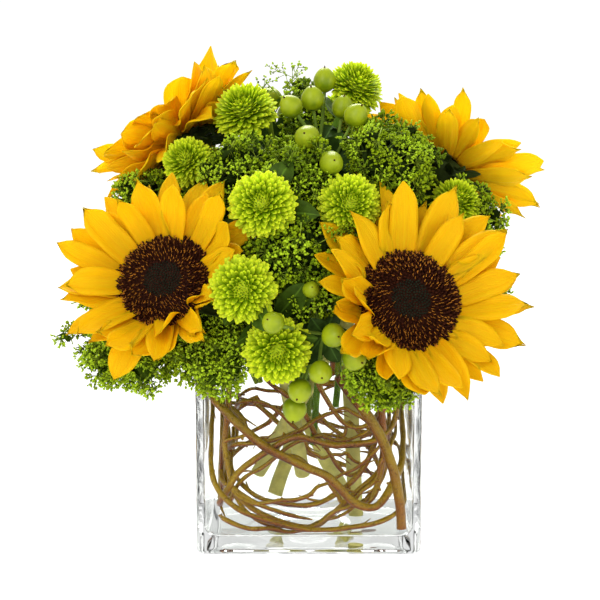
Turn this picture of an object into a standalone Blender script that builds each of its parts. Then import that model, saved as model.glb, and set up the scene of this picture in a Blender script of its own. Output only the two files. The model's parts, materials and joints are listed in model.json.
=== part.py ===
"""Cut flowers in a square glass vase: sunflowers, button mums, sprigs of green
berries, leafy green filler, and curly willow coiled inside the glass.

Metres, +Z up. The origin is the middle of the vase's flat underside, and -Y is
the front. Every stem, flower and tuft of filler is one closed solid of its own."""
import math
import random

import bmesh
import bpy
import numpy as np
from mathutils import Matrix, Vector
from mathutils.bvhtree import BVHTree

MM = 0.001
GAP = 0.35 * MM            # air left between neighbouring solids
LEAN = 0.7 * MM            # a stem this near to something leans on it
UP = Vector((0, 0, 1))

# The vase: a five-inch cube of thick clear glass.
VASE_SIDE = 127 * MM
VASE_HEIGHT = 127 * MM
VASE_WALL = 5 * MM
VASE_FLOOR = 9 * MM
VASE_CORNER = 6.5 * MM     # radius of the outer upright edges
VASE_WELL = 9 * MM         # radius of the inner upright edges
VASE_EASE = 1.2 * MM       # softened rim and foot
INNER_HALF = VASE_SIDE / 2 - VASE_WALL

# Sunflower heads, measured from the middle of the disc's back. Profiles are
# (radius, height) in mm, from low to high.
DISC_PROFILE = [(23.5, 0.35), (26.3, 3.0), (25.2, 6.2), (19, 7.8), (10, 6.4)]
DISC_DIMPLE = 5.4 * MM     # height of the middle of the disc
DISC_SIDES = 11
PETALS = 10                # in each of two layers
PETAL_LENGTH = 36 * MM
PETAL_WIDTH = 16.5 * MM
PETAL_THICK = 1.0 * MM
PETAL_ROOT = 21.5 * MM     # where a petal starts, under the disc
PETAL_LIP = 26.8 * MM      # where it comes out from under the disc
PETAL_CUPS = [(32, 42), (17, 26)]          # degrees, front layer and back layer
PETAL_TRIALS = [(0, 1), (10, 1), (-9, 1), (0, 0.85), (20, 0.95), (12, 0.8), (0, 0.7),
                (26, 0.75), (0, 0.55), (20, 0.55)]   # extra cup in degrees, length
HUB_RADIUS = 25.5 * MM
HUB_THICK = 2.5 * MM
CALYX_PROFILE = [(5.2, -19), (12, -13.5), (20, -8.5), (24.5, -5.2), (23.5, -2.9)]
BRACTS = 6
BRACT_ROOT = (19 * MM, -6.3 * MM)          # radius and height
BRACT_WIDTHS = [5 * MM, 8 * MM]

# Stems.
SUNFLOWER_STEM = 4.7 * MM  # radii
MUM_STEM = 2.1 * MM
BERRY_STEM = 1.9 * MM
BERRY_TWIG = 1.1 * MM
FILLER_STEM = 1.8 * MM
STEM_TRIES = 140
TRIAL_STEP = 0.25 * MM     # how much wider each trial may stray
MOUTH_PULL = 0.42          # a stem's place at the mouth, against its bloom's place
FOOT_HEIGHTS = (88, 100)   # of the thin stems, in mm

# Small heads and tufts.
MUM_SECTORS = 12
MUM_TILTS = (140, 98, 64, 32)              # degrees from the bloom's axis, ring by ring
BERRY_PROFILE = [(0.78, -0.66), (1.0, 0.02), (0.66, 0.76)]   # against its radius
DENSE_SPRAYS = 5
AIRY_SPRAYS = 8
SPRAY_TRIES = 60

# Each material: colour, roughness, alpha.
FINISHES = {
    "clear_glass": ((0.93, 0.97, 0.96), 0.02, 0.3),
    "willow_bark": ((0.30, 0.15, 0.07), 0.6, 1),
    "sunflower_disc": ((0.035, 0.012, 0.006), 0.8, 1),
    "sunflower_green": ((0.10, 0.17, 0.04), 0.6, 1),
    "sunflower_yellow": ((0.93, 0.50, 0.015), 0.55, 1),
    "mum_lime": ((0.42, 0.62, 0.05), 0.6, 1),
    "berry_green": ((0.36, 0.45, 0.04), 0.3, 1),
    "filler_green": ((0.12, 0.24, 0.02), 0.7, 1),
}

# Each row is a place in millimetres, then the way the bloom faces.
SUNFLOWERS = {
    # name: (place, facing, size)
    "front_left": ((-80, -88, 164), (-0.35, -0.83, 0.42), 0.97),
    "front_right": ((56, -92, 153), (0.27, -0.88, 0.36), 1.03),
    "upper_left": ((-74, 20, 225), (-0.63, 0.38, 0.68), 0.97),
    "upper_right": ((80, 18, 208), (0.43, 0.68, 0.59), 0.97),
    "back": ((4, 98, 172), (0.05, 0.88, 0.40), 1.0),
}
# Where each sunflower stem stands in the vase: at the mouth, and at its foot.
SUNFLOWER_FEET = {
    "front_left": ((-4, -26, 127), (-9, -2, 34)),
    "front_right": ((6, -30, 127), (-30, 6, 34)),
    "upper_left": ((-14, 6, 127), (14, 22, 12)),
    "upper_right": ((22, -4, 127), (27, -10, 22)),
    "back": ((6, 30, 127), (-14, 24, 14)),
}
MUMS = {
    # name: (place, facing, radius in mm)
    "top_left": ((-32, -20, 246), (-0.25, -0.62, 0.74), 17.5),
    "far_left": ((-66, -34, 219), (-0.55, -0.45, 0.70), 14.5),
    "centre_left": ((-25, -96, 205), (-0.05, -0.93, 0.36), 18),
    "centre_right": ((22, -94, 204), (0.10, -0.93, 0.34), 17),
    "middle": ((-35, -114, 162), (-0.08, -0.98, 0.15), 18),
    "low_front": ((-17, -108, 128), (0.02, -1.0, 0.0), 18.5),
    "top_right": ((29, -4, 256), (0.35, -0.35, 0.87), 16),
    "far_right": ((82, -44, 199), (0.25, -0.50, 0.83), 14.5),
    "back_top": ((22, 52, 238), (0.20, 0.55, 0.81), 17),
    "back_left": ((-62, 92, 158), (-0.45, 0.88, 0.15), 18),
    "back_right": ((72, 92, 154), (0.50, 0.86, 0.10), 18),
}
BERRY_SPRIGS = {
    # name: (fork, [(place, facing, radius in mm)])
    "top": ((6, -20, 226), [
        ((-10, -39, 251), (-0.5, -0.5, 0.7), 6.6), ((2, -28, 254), (-0.1, -0.4, 0.9), 7.0),
        ((9, -13, 263), (0.0, -0.2, 1.0), 6.8), ((-1, -59, 236), (-0.2, -0.9, 0.4), 7.3)]),
    "upper": ((14, -36, 220), [
        ((26, -42, 246), (0.4, -0.5, 0.8), 7.0), ((19, -25, 249), (0.1, -0.4, 0.9), 6.6),
        ((12, -74, 224), (0.2, -0.9, 0.3), 6.8)]),
    "low_front": ((8, -84, 132), [
        ((1, -103, 160), (0.1, -0.9, 0.4), 4.8), ((-19, -127, 147), (-0.4, -0.8, 0.4), 6.2),
        ((13, -112, 137), (0.3, -0.9, 0.1), 6.9), ((24, -106, 123), (0.5, -0.8, -0.1), 6.9),
        ((6, -108, 116), (0.1, -1.0, -0.2), 6.7), ((-5, -100, 104), (-0.2, -0.9, -0.4), 7.0),
        ((-8, -85, 90), (-0.1, -0.7, -0.7), 7.1)]),
    "back_low": ((-8, 84, 132), [
        ((-26, 108, 132), (-0.4, 0.9, 0.1), 6.8), ((-14, 112, 119), (0.0, 1.0, 0.0), 6.9),
        ((-30, 100, 117), (-0.4, 0.8, -0.3), 6.6), ((-5, 104, 107), (0.2, 0.9, -0.4), 7.0)]),
    "back_top": ((-20, 40, 222), [
        ((-22, 56, 246), (-0.2, 0.5, 0.8), 6.9), ((-34, 46, 242), (-0.5, 0.3, 0.8), 6.6),
        ((-12, 68, 236), (0.1, 0.8, 0.6), 7.0)]),
}
FILLERS = {
    # name: (place, reach in mm, dense)
    "crown_left": ((-44, -50, 221), 20, True),
    "crown_centre": ((-5, -66, 214), 18, True),
    "crown_right": ((46, -45, 224), 29, True),
    "heart": ((-8, -82, 180), 25, True),
    "heart_low": ((-1, -84, 152), 16, True),
    "skirt_left": ((-50, -86, 124), 24, True),
    "corner_left": ((-92, -62, 119), 25, True),
    "tip_left": ((-112, -38, 132), 30, False),
    "skirt_right": ((40, -82, 110), 22, True),
    "tip_top": ((-14, 2, 246), 29, False),
    "side_left_top": ((-106, -20, 198), 20, True),
    "side_right_top": ((100, -30, 187), 20, True),
    "side_left": ((-98, 22, 148), 25, True),
    "side_right": ((100, 20, 142), 25, True),
    "shoulder_left": ((-84, -30, 168), 22, True),
    "shoulder_right": ((84, -34, 158), 22, True),
    "back_skirt_left": ((-72, 80, 122), 26, True),
    "back_skirt_right": ((76, 80, 118), 26, True),
    "back_skirt": ((14, 92, 118), 25, True),
    "back_crown": ((-2, 46, 232), 25, True),
    "back_upper_left": ((-44, 74, 198), 24, True),
    "back_upper_right": ((52, 76, 192), 25, True),
}

# Willow twigs: keys are (bearing about the vase in degrees, height in mm);
# the front is at -90. A lane is a layer counted inwards from the glass.
WILLOW = {
    "brace": (0, 3.2, 2.7, [(-74, 104), (-70, 97), (-56, 73), (-49.5, 50), (-46, 27), (-45, 13)]),
    "thick": (1, 2.75, 2.0, [(-215, 112), (-185, 100), (-155, 93), (-134, 84), (-116, 63),
                             (-101, 54), (-77, 42), (-64, 29), (-53, 24), (-43, 33),
                             (-20, 52), (10, 62), (45, 70), (85, 76), (120, 84), (140, 96)]),
    "knotted": (2, 2.2, 1.5, [(-240, 66), (-210, 46), (-180, 26), (-158, 20), (-138, 29),
                              (-127, 47), (-111, 60), (-96, 66), (-77, 60), (-60, 60),
                              (-42, 64), (-10, 76), (30, 90), (60, 104)]),
    "hoop": (1, 1.8, 1.3, [(-200, 86), (-170, 76), (-150, 60), (-137, 39), (-119, 21),
                           (-82, 12), (-50, 15.5), (-20, 24), (15, 33), (60, 44), (100, 56),
                           (135, 62)]),
    "low": (3, 1.8, 1.2, [(-205, 36), (-170, 44), (-140, 36), (-118, 19), (-90, 12), (-72, 18),
                          (-50, 36), (-32, 45), (0, 58), (35, 78), (60, 96)]),
    "upright": (4, 1.9, 1.2, [(-30, 110), (-27, 90), (-34, 66), (-48, 44), (-70, 28), (-95, 24),
                              (-125, 30), (-160, 46), (-190, 58)]),
}
LANE_ROUNDNESS = 8         # exponent of the rounded square that the coils follow
LANE_RADII = [3.2, 2.75, 2.2, 1.8, 1.9]   # in mm, of the thickest twig in each lane
BRACE_BEARING = -58        # middle of the stretch that the brace covers, in degrees
BRACE_SPREAD = 34
COIL_STEP = 12             # degrees from ring to ring of a coil
DRAW_STEP = 0.1 * MM


# ---------------------------------------------------------------- small shapes
def mm(place):
    """A place given in millimetres, as a vector in metres."""
    return Vector(place) * MM


def rings_to_shape(rings, start=None, end=None):
    """A closed skin through equal rings; an end is closed by a point or its own face."""
    verts = [v for ring in rings for v in ring]
    n = len(rings[0])
    faces = []
    for k in range(len(rings) - 1):
        for i in range(n):
            a, b = k * n + i, k * n + (i + 1) % n
            faces += [(a, b, b + n), (a, b + n, a + n)]
    last = (len(rings) - 1) * n
    if start is None:
        faces += [(0, i + 1, i) for i in range(1, n - 1)]
    else:
        verts.append(start)
        faces += [(len(verts) - 1, (i + 1) % n, i) for i in range(n)]
    if end is None:
        faces += [(last, last + i, last + i + 1) for i in range(1, n - 1)]
    else:
        verts.append(end)
        faces += [(len(verts) - 1, last + i, last + (i + 1) % n) for i in range(n)]
    return verts, faces


def tube(points, radii, sides):
    """A round limb along a path, with no twist from ring to ring."""
    rings = []
    side = None
    for i, point in enumerate(points):
        ahead = points[min(i + 1, len(points) - 1)] - points[max(i - 1, 0)]
        ahead.normalize()
        if side is None:
            side = ahead.orthogonal()
        side = (side - ahead * side.dot(ahead)).normalized()
        other = ahead.cross(side)
        turn = [2 * math.pi * k / sides for k in range(sides)]
        rings.append([point + (side * math.cos(t) + other * math.sin(t)) * radii[i] for t in turn])
    return rings_to_shape(rings)


def turned(profile, sides, frame, tip=None, foot=None):
    """A lathe-turned solid about the frame's Z; the profile runs from low to high."""
    rings = []
    for radius, height in profile:
        turn = [2 * math.pi * k / sides for k in range(sides)]
        rings.append([frame @ Vector((radius * math.cos(t), radius * math.sin(t), height))
                      for t in turn])
    start = None if foot is None else frame @ Vector((0, 0, foot))
    end = None if tip is None else frame @ Vector((0, 0, tip))
    return rings_to_shape(rings, start, end)


def blade(spine, widths, thick, across, normal):
    """A thin pointed blade with a keel under it; the last spine point is its tip."""
    rings = []
    for point, width in zip(spine[:-1], widths):
        rings.append([point + across * (width / 2), point - across * (width / 2),
                      point - normal * thick])
    return facing_out(rings_to_shape(rings, None, spine[-1]))


def leaf(root, tip, width, thick, normal):
    """A leaf of eight faces."""
    along = (tip - root).normalized()
    across = along.cross(normal).normalized()
    face = across.cross(along)
    middle = root.lerp(tip, 0.45)
    ring = [middle + across * width / 2, middle + face * thick / 2,
            middle - across * width / 2, middle - face * thick / 2]
    return facing_out(rings_to_shape([ring], root, tip))


def bud(place, radius, stretch, axis):
    """A bud cluster of eight faces, longer along its axis."""
    side = axis.orthogonal().normalized()
    other = axis.cross(side)
    ring = [place + side * radius, place + other * radius,
            place - side * radius, place - other * radius]
    return facing_out(rings_to_shape([ring], place - axis * radius * stretch,
                                     place + axis * radius * stretch))


def spike(root, tip, radius):
    """A three-sided twig that runs to a point."""
    ahead = (tip - root).normalized()
    side = ahead.orthogonal().normalized()
    other = ahead.cross(side)
    turn = [2 * math.pi * k / 3 for k in range(3)]
    ring = [root + (side * math.cos(t) + other * math.sin(t)) * radius for t in turn]
    return rings_to_shape([ring], None, tip)


def volume(shape):
    verts, faces = shape
    return sum(verts[a].dot(verts[b].cross(verts[c])) for a, b, c in faces) / 6


def facing_out(shape):
    """The same shape with its faces wound outwards."""
    verts, faces = shape
    if volume(shape) < 0:
        faces = [(a, c, b) for a, b, c in faces]
    return verts, faces


def frame_at(place, facing, roll=0.0):
    """A frame at a place whose Z looks along facing."""
    turn = Vector(facing).to_track_quat('Z', 'Y').to_matrix().to_4x4()
    return Matrix.Translation(place) @ turn @ Matrix.Rotation(roll, 4, 'Z')


def smooth_path(keys, count):
    """Evenly numbered points on a Catmull-Rom curve through the keys."""
    points = []
    for i in range(count):
        t = i * (len(keys) - 1) / (count - 1)
        k = min(int(t), len(keys) - 2)
        t -= k
        a, b, c, d = (keys[min(max(k + j, 0), len(keys) - 1)] for j in (-1, 0, 1, 2))
        points.append(0.5 * (2 * b + (c - a) * t + (2 * a - 5 * b + 4 * c - d) * t ** 2
                             + (3 * b - a - 3 * c + d) * t ** 3))
    return points


# ------------------------------------------------------------ the space taken
class Space:
    """The solids made so far, so that a new one can keep its distance."""

    def __init__(self):
        self.solids = []

    def add(self, shape, owner):
        verts, faces = shape
        low = np.min([v[:] for v in verts], axis=0)
        high = np.max([v[:] for v in verts], axis=0)
        self.solids.append((tree_of(verts, faces), low, high, verts, owner))

    def near(self, low, high, owner):
        """What reaches into a box, apart from the owner's own solids."""
        for tree, a, b, verts, whose in self.solids:
            if whose != owner and np.all(a <= high) and np.all(low <= b):
                yield tree, verts

    def free(self, shape, owner, margin=GAP):
        """Whether a shape, grown by the margin, meets nothing of another owner."""
        grown = grow(shape, margin)
        low = np.min([v[:] for v in grown[0]], axis=0)
        high = np.max([v[:] for v in grown[0]], axis=0)
        tree, bare = tree_of(*grown), tree_of(*shape)
        for other, verts in self.near(low, high, owner):
            if (other.overlap(tree) or other.overlap(bare)
                    or inside(other, grown[0][0]) or inside(tree, verts[0])):
                return False
        return True

    def fit_star(self, centre, shape, owner, margin=GAP):
        """Pull a star-shaped skin in towards its centre until it meets nothing."""
        verts, faces = shape
        reach = max((v - centre).length for v in verts) + margin
        low, high = np.array(centre[:]) - reach, np.array(centre[:]) + reach
        others = list(self.near(low, high, owner))
        points = [v for _, cloud in others for v in cloud if (v - centre).length < reach]
        for _ in range(60):
            grown = [centre + (v - centre) * (1 + margin / max((v - centre).length, MM))
                     for v in verts]
            tree = tree_of(grown, faces)
            bad = {pair[1] for other, _ in others for pair in other.overlap(tree)}
            for point in points:
                _, _, index, far = tree.ray_cast(centre / MM, point - centre)
                if index is not None and (point - centre).length < far * MM:
                    bad.add(index)
            if not bad:
                return verts, faces
            pull = {i for face in bad for i in faces[face]}
            verts = [centre + (v - centre) * 0.93 if i in pull else v
                     for i, v in enumerate(verts)]
        raise RuntimeError("no room round %s" % (centre,))


def tree_of(verts, faces):
    """A search tree of a closed skin, in millimetres."""
    return BVHTree.FromPolygons([v / MM for v in verts], faces)


def inside(tree, point):
    """Whether a point lies in a closed skin: a ray leaves it by an odd number of faces."""
    way = Vector((0.31, 0.17, 0.93)).normalized()
    hits = 0
    spot = tree.ray_cast(point / MM, way)[0]
    while spot is not None:
        hits += 1
        spot = tree.ray_cast(spot + way * 0.001, way)[0]
    return hits % 2 == 1


def grow(shape, margin):
    """The shape with each corner moved out along its mean normal."""
    verts, faces = shape
    normals = [Vector() for _ in verts]
    for a, b, c in faces:
        normal = (verts[b] - verts[a]).cross(verts[c] - verts[a]).normalized()
        for i in (a, b, c):
            normals[i] += normal
    return [v + n.normalized() * margin * 1.3 for v, n in zip(verts, normals)], faces


# ------------------------------------------------------------ objects in Blender
def clear_scene():
    for item in list(bpy.data.objects):
        bpy.data.objects.remove(item, do_unlink=True)


def finish(name):
    """A plain material of one colour."""
    material = bpy.data.materials.get(name)
    if material is None:
        colour, roughness, alpha = FINISHES[name]
        material = bpy.data.materials.new(name)
        material.use_nodes = True
        shader = material.node_tree.nodes["Principled BSDF"]
        shader.inputs["Base Color"].default_value = (*colour, 1)
        shader.inputs["Roughness"].default_value = roughness
        shader.inputs["Metallic"].default_value = 0.0
        shader.inputs["Alpha"].default_value = alpha
    return material


def mesh_object(name, shape, material):
    mesh = bpy.data.meshes.new(name)
    verts, faces = shape
    mesh.from_pydata([v[:] for v in verts], [], faces)
    mesh.materials.append(material)
    return bpy.data.objects.new(name, mesh)


def largest_body(mesh):
    """Drop every loose scrap of a mesh and keep its biggest body."""
    shape = bmesh.new()
    shape.from_mesh(mesh)
    bodies = []
    left = set(shape.verts)
    while left:
        stack = [left.pop()]
        body = set(stack)
        while stack:
            for edge in stack.pop().link_edges:
                for vert in edge.verts:
                    if vert in left:
                        left.discard(vert)
                        body.add(vert)
                        stack.append(vert)
        bodies.append(body)
    bodies.sort(key=len)
    scraps = [v for body in bodies[:-1] for v in body]
    bmesh.ops.delete(shape, geom=scraps, context='VERTS')
    bmesh.ops.triangulate(shape, faces=shape.faces)
    shape.to_mesh(mesh)
    shape.free()


def fuse(name, shapes, look, space):
    """Join closed shapes that run into each other into one solid object."""
    material = finish(look)
    scene = bpy.context.scene.collection
    item = mesh_object(name, shapes[0], material)
    scene.objects.link(item)
    if len(shapes) > 1:
        extras = bpy.data.collections.new(name + "_parts")
        scene.children.link(extras)
        for i, shape in enumerate(shapes[1:]):
            extras.objects.link(mesh_object("%s_part_%d" % (name, i), shape, material))
        join = item.modifiers.new("join", 'BOOLEAN')
        join.operation = 'UNION'
        join.operand_type = 'COLLECTION'
        join.collection = extras
        join.solver = 'MANIFOLD'      # EXACT is slow on this many small parts
        view = bpy.context.evaluated_depsgraph_get()
        mesh = bpy.data.meshes.new_from_object(item.evaluated_get(view))
        item.modifiers.remove(join)
        item.data = mesh
        for part in list(extras.objects):
            bpy.data.objects.remove(part, do_unlink=True)
        bpy.data.collections.remove(extras)
    largest_body(item.data)
    item.data.materials.clear()
    item.data.materials.append(material)
    space.add(shape_of(item), name)
    return item


def shape_of(item):
    verts = [v.co.copy() for v in item.data.vertices]
    faces = [tuple(p.vertices) for p in item.data.polygons]
    return verts, faces


def smooth(item, degrees=40):
    item.data.shade_smooth()
    item.data.set_sharp_from_angle(angle=math.radians(degrees))


# ------------------------------------------------------------------- the vase
def rounded_square(half, corner, height, steps=4):
    points = []
    for quarter in range(4):
        turn = quarter * math.pi / 2
        middle = Vector((half - corner, half - corner, 0))
        for i in range(steps + 1):
            t = i * math.pi / 2 / steps
            spot = middle + Vector((math.cos(t), math.sin(t), 0)) * corner
            spot = Matrix.Rotation(turn, 3, 'Z') @ spot
            points.append(Vector((spot.x, spot.y, height)))
    return points


def make_vase(space):
    half = VASE_SIDE / 2
    levels = [
        (half - VASE_EASE, VASE_CORNER - VASE_EASE, 0),
        (half, VASE_CORNER, VASE_EASE),
        (half, VASE_CORNER, VASE_HEIGHT - VASE_EASE),
        (half - VASE_EASE, VASE_CORNER - VASE_EASE, VASE_HEIGHT),
        (INNER_HALF + VASE_EASE, VASE_WELL + VASE_EASE, VASE_HEIGHT),
        (INNER_HALF, VASE_WELL, VASE_HEIGHT - VASE_EASE),
        (INNER_HALF, VASE_WELL, VASE_FLOOR + 2 * VASE_EASE),
        (INNER_HALF - 2 * VASE_EASE, VASE_WELL - 2 * VASE_EASE, VASE_FLOOR),
    ]
    shape = facing_out(rings_to_shape([rounded_square(*level) for level in levels]))
    fuse("vase", [shape], "clear_glass", space)


# ------------------------------------------------------------------ the willow
def lane_half(lane, bearing):
    """Half width of the rounded square that a lane of willow follows."""
    inset = GAP
    for k in range(1, lane):
        inset += 2 * LANE_RADII[k] * MM + GAP
    if lane:
        # The later lanes step inwards where the brace leans on the glass.
        ease = max(0.0, 1 - abs(bearing - BRACE_BEARING) / BRACE_SPREAD)
        inset += (2 * LANE_RADII[0] * MM + GAP) * min(1.0, 2 * ease)
    return INNER_HALF - inset - LANE_RADII[lane] * MM


def lane_point(lane, drawn, bearing, height):
    half = lane_half(lane, bearing) + drawn
    c, s = math.cos(math.radians(bearing)), math.sin(math.radians(bearing))
    n = LANE_ROUNDNESS if lane else 2 * LANE_ROUNDNESS
    k = (abs(c) ** n + abs(s) ** n) ** (1 / n)
    return Vector((half * c / k, half * s / k, height * MM))


def coil(lane, thick, thin, keys, drawn):
    """A tapered twig along its keys, drawn out of its lane towards the glass."""
    count = max(9, int(abs(keys[-1][0] - keys[0][0]) / COIL_STEP))
    spots = smooth_path([Vector(key) for key in keys], count)
    points = [lane_point(lane, drawn, spot.x, spot.y) for spot in spots]
    radii = [(thick + (thin - thick) * i / (count - 1)) * MM for i in range(count)]
    return tube(points, radii, 5)


def make_willow(space):
    """Coils one inside another, each drawn out until it rests on the glass or a coil."""
    for name, twig in WILLOW.items():
        owner = "willow_" + name
        drawn = 0.0
        while space.free(coil(*twig, drawn + DRAW_STEP), owner):
            drawn += DRAW_STEP
        smooth(fuse(owner, [coil(*twig, drawn)], "willow_bark", space), 60)


# ------------------------------------------------------------------- the stems
def stem_path(start, leave, mouth, foot, steps=5):
    """A curve from a bloom over the rim to the mouth, then straight to the foot."""
    reach = (start - mouth).length * 0.45
    rise = (mouth - foot).normalized()
    a, b, c, d = start, start + leave * reach, mouth + rise * reach, mouth
    points = []
    for i in range(steps + 1):
        t = i / steps
        points.append(a * (1 - t) ** 3 + b * (3 * t * (1 - t) ** 2)
                      + c * (3 * t ** 2 * (1 - t)) + d * t ** 3)
    return points + [mouth.lerp(foot, 0.5), foot]


def seat(space, owner, points, radius, sides):
    """Lengthen a stem in a straight line until its foot rests on what it meets."""
    way = (points[-1] - points[-2]).normalized()

    def longer(extra):
        return tube(points[:-1] + [points[-1] + way * extra], [radius] * len(points), sides)

    low, high = 0.0, 1 * MM
    while space.free(longer(high), owner):
        low, high = high, high + 1 * MM
    for _ in range(6):
        half = (low + high) / 2
        if space.free(longer(half), owner):
            low = half
        else:
            high = half
    return longer(low)


def route_stem(space, owner, start, leave, radius, sides, dice, mouth=None, foot=None):
    """A stem from a bloom over the rim and down into the vase.

    It keeps clear of all that is there, and leans on some of it. Where every way is
    blocked, it ends just clear of what it meets."""
    room = INNER_HALF - radius - GAP
    goal = mouth or Vector((start.x * MOUTH_PULL, start.y * MOUTH_PULL, VASE_HEIGHT))
    ways = []
    spare = None
    for attempt in range(STEM_TRIES):
        spread = attempt * TRIAL_STEP
        spot = goal + Vector((dice.uniform(-1, 1), dice.uniform(-1, 1), 0)) * spread
        spot.x = max(-room, min(room, spot.x))
        spot.y = max(-room, min(room, spot.y))
        spot.z = VASE_HEIGHT + dice.uniform(-2, 3) * MM
        if foot is None:
            end = Vector((spot.x * dice.uniform(0.5, 1.0), spot.y * dice.uniform(0.5, 1.0),
                          dice.uniform(*FOOT_HEIGHTS) * MM))
        else:
            end = foot + Vector((dice.uniform(-1, 1), dice.uniform(-1, 1), 0)) * spread * 0.5
        points = stem_path(start, leave, spot, end)
        stem = tube(points, [radius] * len(points), sides)
        if not space.free(stem, owner):
            ways.append(points)
        elif not space.free(stem, owner, LEAN):
            return stem
        elif spare is None:
            spare = points
    if spare is None:
        spare = longest_free(space, owner, ways[-30:], radius, sides)
    return seat(space, owner, spare, radius, sides)


def longest_free(space, owner, ways, radius, sides):
    """The longest start of any of the ways that touches nothing."""
    for count in range(len(ways[0]) - 1, 1, -1):
        for points in ways:
            if space.free(tube(points[:count], [radius] * count, sides), owner):
                return points[:count]
    raise RuntimeError("no way for the stem of " + owner)


# ------------------------------------------------------------------ sunflowers
def sunflower_frames():
    for name, (place, facing, size) in SUNFLOWERS.items():
        yield name, frame_at(mm(place), facing) @ Matrix.Scale(size, 4)


def make_disc(space, name, frame):
    """The dark middle of a head, a little dished."""
    profile = [(radius * MM, height * MM) for radius, height in DISC_PROFILE]
    disc = turned(profile, DISC_SIDES, frame, tip=DISC_DIMPLE)
    smooth(fuse("sunflower_" + name + "_disc", [disc], "sunflower_disc", space))


def calyx_bowl(frame):
    return turned([(radius * MM, height * MM) for radius, height in CALYX_PROFILE], 8, frame)


def make_calyx(space, name, frame, stem, dice):
    """The green back of a head with its bracts, on its stem."""
    owner = "sunflower_" + name + "_stem"
    shapes = [calyx_bowl(frame), stem]
    for k in range(BRACTS):
        turn = 2 * math.pi * (k + dice.uniform(-0.3, 0.3)) / BRACTS
        fall = math.radians(dice.uniform(-34, -8))
        long = dice.uniform(20, 30) * MM
        out = Vector((math.cos(turn), math.sin(turn), 0))
        lean = out * math.cos(fall) + UP * math.sin(fall)
        hook = out * math.cos(fall - 0.5) + UP * math.sin(fall - 0.5)
        spine = [out * BRACT_ROOT[0] + UP * BRACT_ROOT[1]]
        spine.append(spine[0] + lean * long * 0.5)
        spine.append(spine[1] + hook * long * 0.5)
        across = UP.cross(out)
        normal = (frame.to_3x3() @ lean.cross(across)).normalized()
        bract = blade([frame @ p for p in spine], BRACT_WIDTHS, PETAL_THICK,
                      (frame.to_3x3() @ across).normalized(), normal)
        if space.free(bract, owner):
            shapes.append(bract)
    smooth(fuse(owner, shapes, "sunflower_green", space))


def petal(frame, turn, layer, cup, long, width, twist):
    """One ray petal in the sunflower's frame; layer 0 is the front one."""
    out = Vector((math.cos(turn), math.sin(turn), 0))
    across = UP.cross(out)
    low = -0.3 * MM if layer == 0 else -1.4 * MM
    lean = out * math.cos(cup) + UP * math.sin(cup)
    hook = out * math.cos(cup + 0.3) + UP * math.sin(cup + 0.3)
    root = out * PETAL_ROOT + UP * low
    lip = out * PETAL_LIP + UP * (low + 0.3 * MM)
    belly = lip + lean * long * 0.50
    spine = [root, lip, belly, belly + lean * long * 0.24,
             belly + lean * long * 0.24 + (hook + across * twist).normalized() * long * 0.26]
    turned_across = (across + lean.cross(across) * twist).normalized()
    normal = lean.cross(turned_across).normalized()
    widths = [4 * MM, 7 * MM, width, width * 0.80]
    turn3 = frame.to_3x3()
    return blade([frame @ p for p in spine], widths, PETAL_THICK,
                 (turn3 @ turned_across).normalized(), (turn3 @ normal).normalized())


def make_rays(space, name, frame, dice):
    """The ring of ray petals on its thin hub, each petal bent clear of its neighbours."""
    owner = "sunflower_" + name + "_rays"
    hub = turned([(HUB_RADIUS, -HUB_THICK), (HUB_RADIUS - 1 * MM, 0)], 12, frame)
    shapes = [hub]
    for layer in (0, 1):
        for k in range(PETALS):
            turn = 2 * math.pi * (k + layer / 2 + dice.uniform(-0.16, 0.16)) / PETALS
            cup = math.radians(dice.uniform(*PETAL_CUPS[layer]))
            long = PETAL_LENGTH * dice.uniform(0.90, 1.06)
            width = PETAL_WIDTH * dice.uniform(0.88, 1.08)
            twist = dice.uniform(-0.25, 0.25)
            for bend, part in PETAL_TRIALS:
                ray = petal(frame, turn, layer, cup + math.radians(bend), long * part,
                            width * (0.5 + part / 2), twist)
                if space.free(ray, owner):
                    shapes.append(ray)
                    break
    smooth(fuse(owner, shapes, "sunflower_yellow", space), 50)


# ------------------------------------------------------------------------ mums
def mum_head(frame, radius):
    """A domed bloom whose petal tips make an even pattern of points."""
    rings = []
    for step, tilt in enumerate(MUM_TILTS):
        ring = []
        for k in range(MUM_SECTORS):
            far = radius * (1.0 if (k + step) % 2 else 0.84) * (0.72 if tilt > 130 else 1.0)
            t = 2 * math.pi * k / MUM_SECTORS
            a = math.radians(tilt)
            ring.append(frame @ Vector((far * math.sin(a) * math.cos(t),
                                        far * math.sin(a) * math.sin(t),
                                        far * math.cos(a) * (0.62 if tilt > 90 else 0.86))))
        rings.append(ring)
    return rings_to_shape(rings, frame @ Vector((0, 0, -0.42 * radius)),
                          frame @ Vector((0, 0, 0.84 * radius)))


# --------------------------------------------------------------------- berries
def berry(place, facing, radius):
    """An egg-shaped berry that narrows a little to its tip."""
    profile = [(wide * radius, height * radius) for wide, height in BERRY_PROFILE]
    return turned(profile, 5, frame_at(place, facing), tip=1.12 * radius, foot=-0.98 * radius)


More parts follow.
